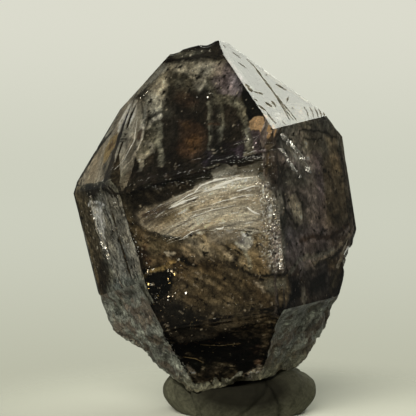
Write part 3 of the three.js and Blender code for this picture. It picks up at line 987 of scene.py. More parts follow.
leftTipPatches = [
    area("cream", 0.8, [(-10.3, -5.5), (-7.9, -1), (-4.6, 4.2), (-3, 9), (-1.5, 3), (-2, -2.5), (1.1, -5.3),
                        (4.2, -6.9), (0, -7.4)], 0.8),
    area("stone", 1.0, [(-0.8, 10.2), (2.7, 8.8), (7.2, 1.5), (8.5, -2.5), (4.8, -5.6), (0.7, -4.9),
                        (-0.6, -1.7), (0.6, 2), (-0.3, 6)], 0.7),
    area("pearl", 0.7, [(0.2, 9), (2, 6), (4.5, 1), (4, -3), (2, -4.5), (0.6, -3.5), (0.6, -0.5),
                        (1.6, 2)], 1.2),
    area("white", 0.95, [(-3.4, 9.8), (-1.4, 10), (0.2, 6.8), (0, 4.2), (-1.6, 3.4), (-3.3, 5.8)], 0.9),
    area("gold", 0.85, [(-1.7, 3.6), (-0.2, 0.9), (-1.1, -1.3), (-1.7, -2.6), (-4.2, 0.3),
                        (-3.9, 2.6)], 0.9),
    area("orange", 0.9, [(-2.6, 2.6), (-1.4, 1.6), (-2, 0.4), (-3.2, 0.8)], 0.8),
    line("soot", 0.8, [(0.1, 9.8), (4.5, 5.5), (8.5, -0.6), (8, -4), (5.6, -6.3)], 0.08, 0.35),
    line("pearl", 0.85, [(3.2, 6), (6, 2), (6.2, -1.5), (3.5, -5.2)], 0.05, 0.35),
    line("ash", 0.5, [(1, 7), (2.8, 3), (2.6, -2), (1, -4.4)], 0.08, 0.3),
    line("ash", 0.5, [(-0.2, 5), (0.6, 1), (-0.2, -3)], 0.1, 0.3),
    line("rust", 0.9, [(4.4, 3.8), (5, 2.6)], 0.25, 0.5),
    line("white", 0.95, [(0.9, -6.4), (1.8, -5.6), (2.4, -5)], 0.25, 0.35),
    area("umber", 0.6, [(0.3, 2.4), (4.6, 2.3), (11, -4.4), (7.1, -4.3)], 0.8),
    area("grey", 0.6, [(-0.6, -3.3), (6.3, -3.9), (9.7, -7.4), (3.5, -7.1)], 1.0),
]

leftPrismPatches = [
    area("ash", 1.0, [(-10, 10), (9.5, 10), (14.6, 3.6), (14.2, -3), (12, -17), (-12, -17),
                      (-11.5, -3)], 0.6),
    area("moss", 0.92, [(-9, 9.6), (-3.9, 9), (-3.3, 3.4), (-4.6, -3.9), (-6.6, -10.8), (-10.1, -10),
                        (-10, -1.5)], 1.2),
    area("umber", 0.95, [(-5.2, 9.4), (2, 9.4), (0, 7.2), (-3.9, 7.2)], 0.9),
    area("stone", 0.9, [(0.2, 7.4), (5, 8), (8.2, 5), (9, 0), (8, -6), (4, -8), (-1, -8), (-2.6, -3),
                        (-1, 2)], 1.6),
    area("white", 0.96, [(-3.4, 5.8), (0.5, 5.6), (0.6, 3.2), (-1.4, 0.7), (-1.7, -1.7), (-3.4, -1.6),
                         (-3.7, 1.3)], 0.8),
    area("soot", 0.95, [(10.2, 7.4), (14.6, 5), (14.4, -2), (11.6, -4), (11, 0), (11.6, 3)], 1.4),
    area("umber", 0.9, [(-6.6, -3.6), (-3.2, -4), (-4.2, -9.8), (-9.3, -9.6)], 1.6),
    area("slate", 1.0, [(-4, -7.6), (2, -6.6), (11, -7), (12, -17), (-12, -17), (-8, -10.4)], 2.2),
    line("umber", 0.9, [(5.6, 7.1), (6.3, 4.3), (7.9, 1.8), (8.3, -2)], 0.1, 0.35),
    line("umber", 0.9, [(8.6, 4.6), (10, 0), (9.7, -4.6)], 0.25, 0.5),
    line("umber", 0.85, [(-1.2, -0.2), (-1.2, -4.1), (0.2, -8.3)], 0.1, 0.35),
    line("umber", 0.85, [(4.2, 0), (4.2, -4.3)], 0.1, 0.35),
    line("umber", 0.85, [(1.6, 7), (2.4, 3), (1.8, 0)], 0.08, 0.3),
    line("white", 0.95, [(-4.5, 6.3), (-1.3, 6.4), (1.6, 5.8)], 0.08, 0.3),
]

rightPrismPatches = [
    area("dusk", 1.0, [(-8.5, 15), (4, 15), (14.5, 12.5), (15.6, 2), (15.6, -9), (10, -16),
                       (-9.5, -15)], 0.5),
    area("grey", 0.8, [(2, 14.4), (10.2, 13.9), (14.4, 9.6), (14.2, 6.5), (7.1, 7.2), (1, 8.6)], 1.6),
    area("stone", 0.85, [(-6.5, 14), (1.4, 14.6), (1, 10), (-2, 8), (-5.6, 10)], 1.6),
    area("soot", 0.9, [(-9, 8), (-4.5, 7.3), (-1.5, 5.5), (1.5, 5), (2.2, 2.8), (-2.9, 3),
                       (-6.6, 3.6)], 1.8),
    area("cream", 0.7, [(-4.6, 12.4), (-1.8, 11.4), (1.4, 8), (3, 5), (1, 5.8), (-2, 8.2)], 1.4),
    area("grey", 0.85, [(-8.2, 3), (-5.8, 3), (-5.4, -2), (-5.8, -6), (-7.6, -9.5), (-9, -9)], 1.4),
    area("moss", 0.9, [(7.7, 7.7), (13.8, 5.6), (14.5, -1.6), (14.8, -6), (10.5, -6.2), (7, -4.4),
                       (6.6, 1.3)], 1.8),
    area("olive", 0.6, [(9, 10.5), (12.6, 9.4), (13, 3), (10.4, 4)], 1.6),
    area("olive", 0.5, [(11, 5), (13.6, 3), (13.6, -3), (11.6, -5), (10.4, 0)], 1.6),
    area("soot", 0.8, [(13.2, 6.5), (14.2, 5.4), (15, -1.6), (15.2, -7), (13.9, -7), (13.7, -1)], 0.9),
    area("mauve", 0.7, [(4.6, 8), (7, 7.6), (7, -1), (4.4, -8), (2.4, -7), (4.6, -1)], 1.8),
    area("brown", 0.45, [(6, -0.4), (12.2, -1.3), (12.6, -7.5), (7.1, -7.7), (3, -8.4), (1, -6)], 2.4),
    area("lavender", 0.7, [(-6.2, -3), (3.1, -4), (8, -6.5), (5, -9.6), (-3, -10), (-7.2, -8.9)], 1.8),
    area("soot", 0.6, [(-9, 4.6), (-5.5, 4), (-0.8, 2.6), (1.6, -1.6), (1.2, -4.6), (-2.2, -5.4),
                       (-6.5, -3.4), (-9, -0.9)], 2.0),
    area("cream", 0.9, [(-8, 3), (-6.4, 2.6), (-5.6, 0.4), (-6.4, -1), (-7.6, -0.7), (-8.3, 1.1)], 0.5),
    area("cream", 0.95, [(-4.4, 1.8), (-2.3, 1.9), (-1.1, 0.1), (0.1, -2.1), (-1.7, -3.5), (-3, -2.7),
                         (-4, -0.2)], 0.5),
    line("umber", 0.9, [(-5.5, 2.6), (-5.4, 0), (-4.4, -2), (-2.6, -3.4)], 0.12, 0.35),
    line("umber", 0.8, [(-2, 2.2), (-0.5, 0.2), (-0.3, -2.4)], 0.10, 0.35),
    area("rust", 0.8, [(7, -6.6), (14, -7.4), (12.4, -9.4), (7.6, -9.2)], 1.0),
    area("umber", 0.9, [(-9, -11), (-3, -11.6), (0, -10.8), (6.5, -11), (12, -12), (10, -18.5),
                        (-10, -18)], 1.8),
    area("black", 0.85, [(-7.6, -12.1), (-3.9, -12.7), (-3.8, -15.4), (-7.7, -15.7)], 0.7),
    area("black", 0.8, [(-1, -12.6), (4.4, -12.6), (4.5, -15.3), (-0.4, -15.8)], 0.8),
    area("rust", 0.8, [(5, -10.3), (13, -10), (12.6, -11.9), (5.9, -13)], 1.4),
    area("rust", 0.85, [(-7.4, -9.9), (-3.6, -9.6), (-3.1, -11.7), (-7.2, -11.8)], 0.6),
    area("umber", 0.5, [(1.7, -7.2), (7.6, -8.1), (6.7, -11), (1.1, -10.2)], 1.2),
    line("stone", 0.9, [(-8, -11.4), (-5.6, -10.2), (-2.9, -9.3), (-0.3, -9), (3.5, -9.5),
                        (8, -9.4)], 0.18, 0.45),
    line("rust", 0.9, [(-2.2, -6), (1.7, -5.9), (6, -6.9), (9.9, -6.4), (13.8, -5.8)], 0.15, 0.6),
    line("beige", 0.8, [(0.8, -10.2), (4.6, -10.2), (8.6, -9.6), (12, -8.4), (14.2, -7.2)], 0.06, 0.4),
    line("umber", 0.9, [(1.2, -10.7), (5, -10.8), (9, -10.2), (12.4, -9)], 0.15, 0.4),
    area("stone", 0.8, [(-3.7, -13.7), (-2.3, -13.9), (-2.2, -16.3), (-3.6, -16.4)], 0.5),
    area("bark", 0.9, [(5.9, -13.1), (9.9, -12.5), (7.8, -16.3), (4.5, -16.8)], 0.9),
    line("moss", 0.8, [(6, -15.6), (8, -13.8), (10, -12.6)], 0.1, 0.5),
    line("brown", 0.9, [(6, -11.2), (10, -12.6), (11, -14)], 0.3, 0.8),
    line("grey", 0.85, [(2, 13), (8, 12.4), (12, 11)], 0.05, 0.3),
    line("black", 0.85, [(1.5, 12), (7, 11.4), (12.6, 9.4)], 0.06, 0.3),
    line("black", 0.85, [(2, 10.4), (8, 9.8)], 0.06, 0.3),
    area("stone", 0.45, [(-4.3, 6.6), (4.9, 4.9), (3.7, 2.3), (-4.6, 3.6)], 1.2),
]

chipPatches = [
    area("beige", 0.97, [(7.3, -12), (9.1, -10.2), (12.3, -8.7), (14.6, -8), (13.7, -9.6), (10.2, -11.4),
                         (7.9, -12.6)], 0.25),
    area("pearl", 0.97, [(9, -10.6), (10.6, -9.4), (12.4, -9), (11.4, -10)], 0.5),
]

# pale smudges under the bright tip face, with painted shade towards its right end
brightTipPatches = [
    area("stone", 0.55, [(-2.7, 6.9), (-1.5, 5.9), (-2.3, 4.7), (-4, 5)], 0.7),
    area("stone", 0.5, [(-1.5, 5.1), (-0.5, 3.9), (-1.5, 3.3), (-2.5, 4)], 0.7),
    area("stone", 0.6, [(-2.1, 2.3), (-0.5, 2.1), (-0.3, 0.5), (-1.4, -0.1), (-2.9, 0.7)], 0.8),
    area("stone", 0.5, [(-4.1, 1.4), (-3.4, 0.7), (-4.4, -0.6), (-5.1, 0)], 0.7),
    area("grey", 0.55, [(-4.9, -0.6), (-4.2, -0.8), (-4.4, -2.8), (-5.2, -3.4), (-5.4, -1.8)], 0.6),
    area("stone", 0.6, [(5.9, 5.7), (7.1, 5.5), (7.1, 4.2), (5.6, 3.7), (5.1, 4.5)], 0.7),
    area("grey", 0.5, [(4.5, 2.3), (5.5, 1.8), (3.5, 0.6), (3.2, 0.9)], 0.6),
    line("stone", 0.4, [(4.2, 11.7), (4.4, 9.8), (3.6, 7.4), (2.8, 4.6), (2, 1.7), (1.4, -1.1),
                        (0.8, -3.9)], 0.1, 0.9),
    # painted shade: soot and umber towards the face's right end, where its mirrored light fades
    area("soot", 0.8, [(1.6, -4.2), (10.2, -5), (12.4, 0), (9.8, 0.6), (5.7, -1.6)], 2.6),
    area("umber", 0.5, [(3.6, -4.2), (9.8, -4.6), (9.5, -2.2), (7, -2.2)], 1.2),
    area("white", 0.5, [(-3.9, -0.7), (-1.1, -0.9), (-1.7, -2.9), (-4.2, -2.9)], 0.8),
]

backPatches = [
    area("bark", 0.9, [(-15, -12), (15, -12), (15, -4), (6, -3), (0, -5), (-6, -3), (-15, -1)], 3.0),
    area("moss", 0.8, [(-13, 0), (-4, -2), (2, 2), (-1, 8), (-6, 11), (-13, 9)], 3.5),
    area("grey", 0.75, [(1, 1), (8, -2), (14, 2), (13, 10), (6, 12), (2, 8)], 3.0),
    area("olive", 0.6, [(-9, 5), (-3, 3), (-2, 7), (-7, 9)], 2.4),
    area("lavender", 0.5, [(5, 2), (10, 1), (11, 6), (6, 7)], 2.4),
    line("pearl", 0.8, [(-11, 6), (-6, 4.4), (-1, 4.8), (4, 3), (9, 3.4)], 0.1, 0.7),
    line("cream", 0.8, [(-8, 2.4), (-3, 1.2), (1, 1.6)], 0.06, 0.5),
    line("umber", 0.9, [(-12, 3), (-7, 1), (-2, -1), (5, -1.4), (12, -3)], 0.15, 0.6),
    line("umber", 0.8, [(3, 9), (4, 5), (3.4, 0), (5, -4)], 0.1, 0.5),
]

backTipPatches = [
    area("stone", 0.5, [(-6, 8), (0, 10), (4, 4), (1, -2), (-5, 0)], 3.0),
    area("moss", 0.6, [(2, 2), (8, -1), (10, -6), (2, -8), (-2, -4)], 3.0),
    area("umber", 0.7, [(-10, -3), (-3, -3), (-1, -8), (-9, -9)], 3.0),
    line("cream", 0.8, [(-5, 6), (-3, 2), (-4, -3)], 0.08, 0.5),
    line("pearl", 0.7, [(0, 8), (3, 3), (7, -2)], 0.06, 0.5),
    line("umber", 0.8, [(-2, 9), (-1, 3), (1, -4)], 0.1, 0.5),
]

lookParts = (
    "size", "stretch", "slope", "bend", "contrast", "grit", "veins", "flecks", "pits", "gaps", "fleckTone",
)
veilLooks = {
    # mottling size in mm, how much longer it is along its slope, that slope in degrees, how it bends, its
    # contrast, the contrast of its grit, the strength of its veins, the shares of pale flecks, dark pits and
    # gaps, and the flecks' tone
    "smoke": (0.9, 1.5, 62, 0, 0.7, 0.7, 0.4, 0.008, 0.09, 0.0, "cream"),
    "silk": (0.55, 8.0, 4, silk["bend"], 0.42, 0.5, 0.15, 0.03, 0.008, 0.0, "white"),
    "cracked": (0.9, 1.6, 112, 0, 0.7, 0.8, 0.4, 0.02, 0.08, 0.0, "pearl"),
    "feather": (0.7, 3.0, 108, 0, 0.35, 0.6, 0.12, 0.03, 0.04, 0.0, "pearl"),
    "dusk": (1.1, 1.4, -50, 0, 0.75, 0.5, 0.35, 0.012, 0.07, 0.0, "beige"),
    "mud": (0.7, 2.2, -42, 0, 0.6, 0.9, 0.45, 0.02, 0.1, 0.0, "beige"),
    "night": (0.9, 2.0, -24, 0, 1.4, 1.1, 0.6, 0.012, 0.3, 0.0, "olive"),
    "calm": (1.2, 2.0, 60, 0, 0.2, 0.25, 0.1, 0.0, 0.01, 0.0, "beige"),
    "haze": (1.2, 2.4, 12, 0, 0.8, 0.7, 0.5, 0.01, 0.05, 0.15, "cream"),
    "smudge": (0.5, 2.4, -35, 0, 0.8, 0.8, 0.2, 0.0, 0.0, 0.35, "white"),
    "sugar": (0.45, 1.0, 0, 0, 1.0, 1.6, 0.3, 0.12, 0.12, 0.3, "white"),
}

sheet = {  # what all veils share, unless one has its own value
    "step": 0.17,  # mm between its points
    "relief": 0.3,  # mm
    "swell": 3.0,  # mm, the size of its waves
    "rise": 0.0,  # mm nearer to the face for each mm that it goes down below riseFrom
    "riseFrom": 2.0,  # mm up the face
    "top": math.inf,  # mm up the face, where it ends
    "spill": 0.7,  # mm past the crystal's room, where it is cut off
}

veils = [
    # name, the face that it lies under, its depth in mm, look and patches, and its own values for the sheet
    ("silkVeil", "frontPrism", 2.0, "silk", silkPatches, {}),
    ("brownVeil", "frontPrism", 2.5, "mud", brownPatches, {}),
    ("borderVeil", "frontPrism", 0.8, "sugar", rightBorderPatches, {}),
    ("footFill", "frontFoot", 2.0, "night", lowFrontPatches, {"top": -3.4}),
    ("tipVeil", "frontTip", 3.0, "smoke", tipNearPatches, {"rise": 0.28}),
    ("stepVeil", "frontStep", 0.9, "cracked", stepPatches, {}),
    ("leftStepVeil", "leftStep", 1.0, "feather", leftStepPatches, {}),
    ("leftTipVeil", "leftTip", 2.0, "feather", leftTipPatches, {}),
    ("leftVeil", "leftPrism", 0.8, "cracked", leftPrismPatches, {}),
    ("rightVeil", "rightPrism", 2.0, "dusk", rightPrismPatches, {}),
    ("cornerVeil", "frontPrism", 0.9, "smoke", cornerPatches, {}),
    ("amberVeil", "frontTip", 2.0, "calm", amberPatches, {}),
    ("brightTipVeil", "rightTip", 0.45, "smudge", brightTipPatches, {}),
    ("backRightVeil", "backRightPrism", 1.4, "haze", backPatches, {"step": 0.25}),
    ("backVeil", "backPrism", 1.6, "haze", backPatches, {"step": 0.25}),
    ("backLeftVeil", "backLeftPrism", 1.5, "haze", backPatches, {"step": 0.25}),
    ("backRightTipVeil", "backRightTip", 1.6, "haze", backTipPatches, {"step": 0.25}),
    ("backLeftTipVeil", "backLeftTip", 1.6, "haze", backTipPatches, {"step": 0.25}),
    ("chipVeil", "rightPrism", 0.6, "feather", chipPatches, {}),
]


def makeVeils():
    material = makeVeilMaterial()
    counts = [makeSheet(*veil, material, seed) for seed, veil in enumerate(veils, 11)]
    print("veil faces", sum(counts))


flakeGroups = [
    # face, depth in mm, how many, size in mm, tints, and the areas or lines that they gather in
    ("frontPrism", 1.0, 420, 0.24, ("white", "beige", "lavender"), [
        area("white", 1, [(8.9, 3), (10.6, 2.8), (11, -1), (11, -6), (10.5, -12), (9, -12),
                          (8.5, -5)], 1.3)]),
    ("frontPrism", 2.2, 60, 0.20, ("gold", "beige", "orange"), [
        area("gold", 1, [(-13, -8), (-8, -7.5), (-6, -9), (-8, -14), (-11, -15), (-13, -12)], 2)]),
    ("frontPrism", 2.0, 70, 0.26, ("white", "beige"), [
        line("white", 1, [(-13.5, -2), (-13, -5), (-12, -8)], 0.6, 1)]),
    ("frontPrism", 2.2, 100, 0.20, ("beige", "gold"), [
        area("white", 1, [(-12, -6), (8, -10), (8, -16), (-9, -16)], 4)]),
    ("frontTip", 2.7, 16, 0.20, ("white", "grey", "lavender"), [
        area("white", 1, [(-7, 13), (-3, 17.5), (6, 18), (10, 10), (12, 2), (14, -4), (9, -5), (4, 2),
                          (-7, 1)], 5)]),
    ("frontTip", 2.4, 90, 0.22, ("white", "lavender"), [
        area("white", 1, [(10.4, 2.4), (11.8, 0.4), (13.4, -1.5), (13.6, -3.8), (11, -3.6)], 1)]),
    ("frontStep", 0.7, 50, 0.22, ("ash", "grey"), [
        area("grey", 1, [(-2, 15.4), (7, 12.6), (14, 14), (14, 18), (-2.5, 18)], 1)]),
    ("rightPrism", 1.8, 120, 0.24, ("beige", "orange", "lavender"), [
        area("beige", 1, [(5, -4), (11, -4), (11, -9), (-6, -16), (-8, -13)], 3)]),
    ("leftPrism", 0.6, 300, 0.28, ("white", "beige", "grey"), [
        line("white", 1, [(-2.4, 7.2), (-3.5, 4), (-3.6, 2), (-3, 0.5), (-3, -2)], 0.6, 1.4),
        area("grey", 1, [(-2, 8), (6, 8), (9, 2), (9, -6), (-2, -8)], 3)]),
    ("leftTip", 1.6, 60, 0.28, ("white", "beige"), [
        line("white", 1, [(-1.8, 9.5), (-2, 6.5), (-3, 5)], 0.5, 1),
        line("white", 1, [(2.4, -5), (2.6, -6.6)], 0.4, 1)]),
    ("frontFoot", 1.8, 120, 0.22, ("gold", "orange", "beige"), [
        area("gold", 1, [(-10, 3), (8, 0), (6, -10), (2, -18), (-6, -18), (-10, -8)], 3)]),
]

mirrorGroups = [
    # the same for plates that shine like metal, where cracks open inside the crystal
    ("rightPrism", 1.2, 420, 0.50, ("white", "white"), [
        line("white", 1, [(-4.7, 11.9), (-3, 10.8), (-0.9, 8.9), (1, 7), (2.5, 5)], 0.12, 0.3)]),
    ("rightPrism", 1.2, 150, 0.42, ("white", "white"), [
        line("white", 1, [(-3.7, 7.7), (-2.4, 6.3), (-0.8, 4.5)], 0.1, 0.3),
        line("white", 1, [(-5.5, 9.8), (-3.8, 8.4)], 0.05, 0.25)]),
    ("rightPrism", 1.6, 70, 0.22, ("pearl", "lavender"), [
        area("white", 1, [(-8.5, 6), (-4, 12), (2, 8), (3, 3), (-2, 0), (-7, -4), (-8, -10),
                          (-8.8, -2)], 2)]),
    ("frontPrism", 1.0, 560, 0.19, ("white", "pearl", "beige"), [
        area("white", 1, [(9.2, 2.8), (10.7, 2.4), (11, -2), (11, -7), (10.6, -12), (9.6, -12),
                          (9.2, -5)], 1.2)]),
    ("frontPrism", 1.9, 50, 0.34, ("gold", "beige", "pearl"), [
        area("gold", 1, [(-13, -7.6), (-7, -7), (-5.6, -9), (-8, -13), (-11, -14), (-13, -12)], 2),
        line("white", 1, [(-8.2, -5.9), (-6.3, -6.2), (-4.6, -7.6), (-3.6, -8.4)], 0.3, 0.5)]),
    ("frontPrism", 1.9, 40, 0.24, ("white", "beige"), [
        line("white", 1, [(-12, -12.4), (-9.5, -12.6), (-7.1, -13.2), (-5, -13.2)], 0.3, 0.6)]),
    ("leftPrism", 0.7, 220, 0.40, ("white", "pearl"), [
        line("white", 1, [(-2.6, 6.8), (-3.4, 4.4), (-3.4, 2), (-2.6, 0.2), (-2.4, -2.6)], 0.35, 0.9)]),
    ("frontTip", 2.4, 60, 0.32, ("white", "pearl", "lavender"), [
        line("white", 1, [(9.5, 2.8), (10.9, 2), (12.2, 0.4), (13.3, -1.7)], 0.35, 0.6),
        area("white", 1, [(10.4, 0.4), (11.8, -0.4), (12.8, -2.5), (11, -3.4)], 1)]),
    ("frontTip", 2.4, 10, 0.24, ("white", "pearl"), [
        line("white", 1, [(-7.2, 12.7), (-5.8, 14)], 0.2, 0.5)]),
    ("frontTip", 2.4, 6, 0.3, ("white", "pearl"), [
        line("white", 1, [(3.9, 9.7), (5, 10.4)], 0.2, 0.3)]),
]

flake = {
    "sunk": 0.6,  # mm more or less than its group's depth
    "corners": 5,
    "clumps": 1.6,  # mm, the size of the clumps they gather in
    "triesEach": 30,  # random spots drawn for each flake that is kept
    "lengths": (0.4, 1.3),  # share of its group's size
    "widths": (0.3, 0.8),  # share of its length
    "rims": (0.75, 1.2),  # how far each corner lies, as a share of that ellipse
    "shades": (0.5, 1.1),  # how bright it is, as a share of its tint
}


def scatteredSpots(patches, count, random):
    # random spots in the patches' range, kept where the patches are strong and the clumps' noise is high
    low, high = patchRange(patches)
    spots = random.uniform(low, high, (count * flake["triesEach"], 2))
    strength = np.max([patchMask(spots, p) for p in patches], 0)
    clumps = layeredNoise(atLevel(spots, low[0]), flake["clumps"], 71, octaves=3)
    strength = strength * smoothStep(-0.25, 0.5, clumps)
    return spots[random.uniform(0, 1, len(spots)) < strength][:count]


def plateMaterial(name, metallic, roughness, through):
    # pale plates that shine and let some light through
    material, make, output = newMaterial(name)
    colour = attribute(make, "tint", "Color")
    plate = make("BsdfPrincipled", {"Base Color": colour, "Metallic": metallic, "Roughness": roughness})
    back = make("BsdfTranslucent", {"Color": colour})
    sendOut(output, make("MixShader", {0: through, 1: plate.outputs[0], 2: back.outputs[0]}))
    return material


flakeMaterial = plateMaterial("flakeGlint", 0.0, 0.35, 0.35)
mirrorMaterial = plateMaterial("mirrorGlint", 0.9, 0.22, 0.1)


def makeFlakes(name, groups, material, lean, jitter):
    # each flake is a flat plate, its corners on a small ellipse round its spot; it faces as its crystal face
    # does, tipped by lean and by a random jitter
    random = np.random.default_rng(5)
    corners = flake["corners"]
    turn = np.linspace(0, 2 * math.pi, corners + 1)[:-1]
    rims, tints = [], []
    for face, depth, count, size, names, patches in groups:
        plane = planes[face]
        spots = scatteredSpots(patches, count, random)
        n = len(spots)
        sunk = depth + random.uniform(-flake["sunk"], flake["sunk"], n)
        centre = heldInside(onFace(plane, spots, plane["reach"] - sunk), clearance["flake"])
        facing = plane["normal"] + lean + random.normal(0, jitter, (n, 3))
        facing /= np.linalg.norm(facing, axis=1)[:, None]
        long = np.cross(facing, random.normal(0, 1, (n, 3)))
        long /= np.linalg.norm(long, axis=1)[:, None]
        short = np.cross(facing, long)
        big = size / 2 * random.uniform(*flake["lengths"], n) ** 1.5
        wide = big * random.uniform(*flake["widths"], n)
        reach = random.uniform(*flake["rims"], (n, corners))
        rim = (centre[:, None] + (np.cos(turn) * reach * big[:, None])[..., None] * long[:, None]
               + (np.sin(turn) * reach * wide[:, None])[..., None] * short[:, None])
        rims.append(rim.reshape(-1, 3))
        tone = np.array([tones[tone] for tone in names])[random.integers(0, len(names), n)]
        tints.append(np.repeat(tone * random.uniform(*flake["shades"], (n, 1)), corners, 0))
    points = np.concatenate(rims)
    faces = np.arange(len(points)).reshape(-1, corners)
    piece = makePiece(name, points, faces, material, "smoky_amethyst", smooth=False)
    addValues(piece.data, "tint", np.concatenate(tints))
    print(name, len(faces))


def ribbonSurface(path, half, plane, level, heights, step=0.2):
    # a profile carried along a smoothed path on a plane: half times the root of a half sine wide, so that
    # it tapers to both ends, uneven by noise, and as many points across as there are heights
    path = np.array(path)
    run = np.concatenate([[0], np.cumsum(np.linalg.norm(np.diff(path, axis=0), axis=1))])
    count = max(8, int(run[-1] / step))
    t = np.linspace(0, 1, count)
    middle = np.stack([np.interp(t, run / run[-1], path[:, k]) for k in (0, 1)], 1)
    if len(path) > 2:
        middle[1:-1] = (middle[:-2] + 2 * middle[1:-1] + middle[2:]) / 4
    ahead = np.gradient(middle, axis=0)
    side = np.stack([-ahead[:, 1], ahead[:, 0]], 1) / np.linalg.norm(ahead, axis=1)[:, None]
    wide = half * np.sqrt(np.sin(np.pi * np.clip(t, 0.02, 0.98)))
    wide = wide * (1 + 0.5 * softNoise(atLevel(middle, 0.0), 0.5, 17))
    offsets = np.linspace(-1, 1, len(heights))
    spots = middle[:, None] + side[:, None] * offsets[:, None] * wide[:, None, None]
    points = onFace(plane, spots.reshape(-1, 2), np.tile(level + np.array(heights), count))
    return points, gridQuads(np.arange(len(points)).reshape(count, -1))[:, ::-1]


def joinedRibbons(ribbons):
    # points and faces of many ribbons as one mesh
    starts = np.cumsum([0] + [len(points) for points, _ in ribbons])
    faces = [quads + start for (_, quads), start in zip(ribbons, starts)]
    return np.concatenate([points for points, _ in ribbons]), np.concatenate(faces)


threads = [
    # face, depth in mm, tint, and paths across the face in mm with half a width
    ("frontPrism", 1.8, "white", [
        ([(-1.4, 3.1), (0, 4.1), (2.5, 4.5), (5, 4.4)], 0.16),
        ([(0.2, 3.0), (3, 3.5), (6, 4.0), (9, 3.7)], 0.20),
        ([(-6, 1.4), (-3, 2.1), (-0.8, 2.4)], 0.16), ([(-5, 1.9), (-2.4, 2.9), (0, 3.4)], 0.08),
        ([(0.5, 2.9), (2.4, 3.1), (4, 3.1)], 0.16), ([(5.5, 2.0), (8.5, 2.3), (9.5, 2.1)], 0.12),
        ([(0.5, 0.6), (3, 0.9), (6, 1.1), (8.5, 1.0)], 0.06), ([(-3, -0.8), (1, -0.2), (5, -0.2)], 0.05),
        ([(6.7, -0.8), (7.5, -1.8), (8.6, -2.5)], 0.14), ([(-4.6, -3.8), (-3, -3.1), (-1.5, -2.9)], 0.08),
        ([(1, -3.3), (1.8, -3.6), (2.4, -3.3)], 0.12)]),
    ("frontPrism", 1.85, "rust", [
        ([(-10.6, 1.2), (-8, 1.9), (-5, 2.5)], 0.07), ([(-10.8, 0.8), (-7.5, 1.2), (-5.5, 1.6)], 0.06),
        ([(-10.6, 0), (-8, 0.4), (-6, 0.4)], 0.06)]),
    ("rightPrism", 1.5, "white", [
        ([(-4.1, 11.6), (-2.6, 10.8), (-1, 9.6)], 0.12), ([(-0.9, 9.5), (0.8, 8.1), (2.2, 7)], 0.08),
        ([(1.6, 6.8), (3.2, 5)], 0.10), ([(-2.7, 7.2), (-0.9, 4.9)], 0.10),
        ([(-1.9, 9), (-0.4, 7.4)], 0.06), ([(-5, 9.5), (-3.6, 7.8)], 0.04)]),
    ("leftPrism", 0.7, "pearl", [
        ([(-2.4, 7.2), (-3.4, 5)], 0.2), ([(-3.4, 3.4), (-3.8, 1.6), (-3.2, 0.2)], 0.25),
        ([(-2.6, 0.6), (-2.2, -1.4)], 0.15), ([(-0.8, -4), (-0.4, -7)], 0.08),
        ([(6.8, 2), (7.2, -2)], 0.05)]),
    ("leftTip", 1.4, "white", [
        ([(-1.4, 9.6), (-1.9, 7.4), (-2.8, 5.3)], 0.35), ([(1, -6.2), (1.6, -5.6), (2.3, -5)], 0.2),
        ([(2.4, 6.2), (4.7, 2), (4.7, -2), (2.6, -4.6)], 0.05)]),
    ("frontFoot", 1.6, "gold", [
        ([(-8.5, -10), (-6.5, -11), (-5.5, -12.3)], 0.08), ([(-5, -8), (-2, -9), (1.5, -9.4)], 0.05)]),
]


def silkFamily():
    # fine threads under the silk's arch, which is its top less bend times the square of the distance to its
    # middle: each is a stretch of it, six points long, moved down and more so towards the right
    random = np.random.default_rng(8)
    leastDrop, mostDrop = silk["drops"]
    family = []
    for _ in range(silk["threads"]):
        start = random.uniform(*silk["starts"])
        s = np.linspace(start, min(start + random.uniform(*silk["lengths"]), silk["rightEnd"]), 6)
        drop = leastDrop + (mostDrop - leastDrop) * random.uniform(0, 1) ** 1.5
        t = silk["top"] - silk["bend"] * (s - silk["middle"]) ** 2 - drop * (0.7 + 0.03 * (s + 10))
        family.append((np.stack([s, t], 1), random.uniform(*silk["halves"])))
    return family


def makeThreads():
    ribbons, tint = [], []
    for face, depth, tone, paths in threads + [("frontPrism", 1.9, "pearl", silkFamily())]:
        plane = planes[face]
        for path, half in paths:
            points, quads = ribbonSurface(path, half, plane, plane["reach"] - depth, (0, 0.03, 0))
            ribbons.append((heldInside(points, clearance["veil"]), quads))
            tint.append(np.repeat([tones[tone]], len(points), 0))
    piece = makePiece("silkThreads", *joinedRibbons(ribbons), flakeMaterial, "smoky_amethyst")
    addValues(piece.data, "tint", np.concatenate(tint))


heart = {
    "core": (-1.5, 0.5, -16.0),  # mm, where its shape is measured from
    "depth": 3.4,  # mm inside the walls
    "lid": 8.0,  # mm from the core up to its rough top
    "lidFaces": (0.10, -0.22, 1.0),  # which way that top looks
    "sharp": 14.0,  # the lower, the rounder its corners
    "rough": 1.3,  # mm, how deep its bumps are
    "bumps": 2.6,  # mm, their size on a ball of the radius bumpsOn
    "bumpsOn": 9,
    "turns": 220,
    "rises": 130,
    "tones": ((0.006, 0.005, 0.004), (0.075, 0.050, 0.028)),
    "stain": (0.15, 0.085, 0.04),
}


def closedFaces(turns, rows):
    # faces of rows of points round an axis, closed by one point below, number 0, and one above, the last
    i = np.arange(turns)
    j = (i + 1) % turns
    starts = 1 + turns * np.arange(rows - 1)[:, None]
    quads = np.stack([starts + i, starts + j, starts + turns + j, starts + turns + i], -1).reshape(-1, 4)
    last = 1 + turns * (rows - 1)
    bottom = np.stack([np.zeros(turns, int), 1 + j, 1 + i], 1)
    top = np.stack([last + i, last + j, np.full(turns, last + turns)], 1)
    return bottom.tolist() + quads.tolist() + top.tolist()


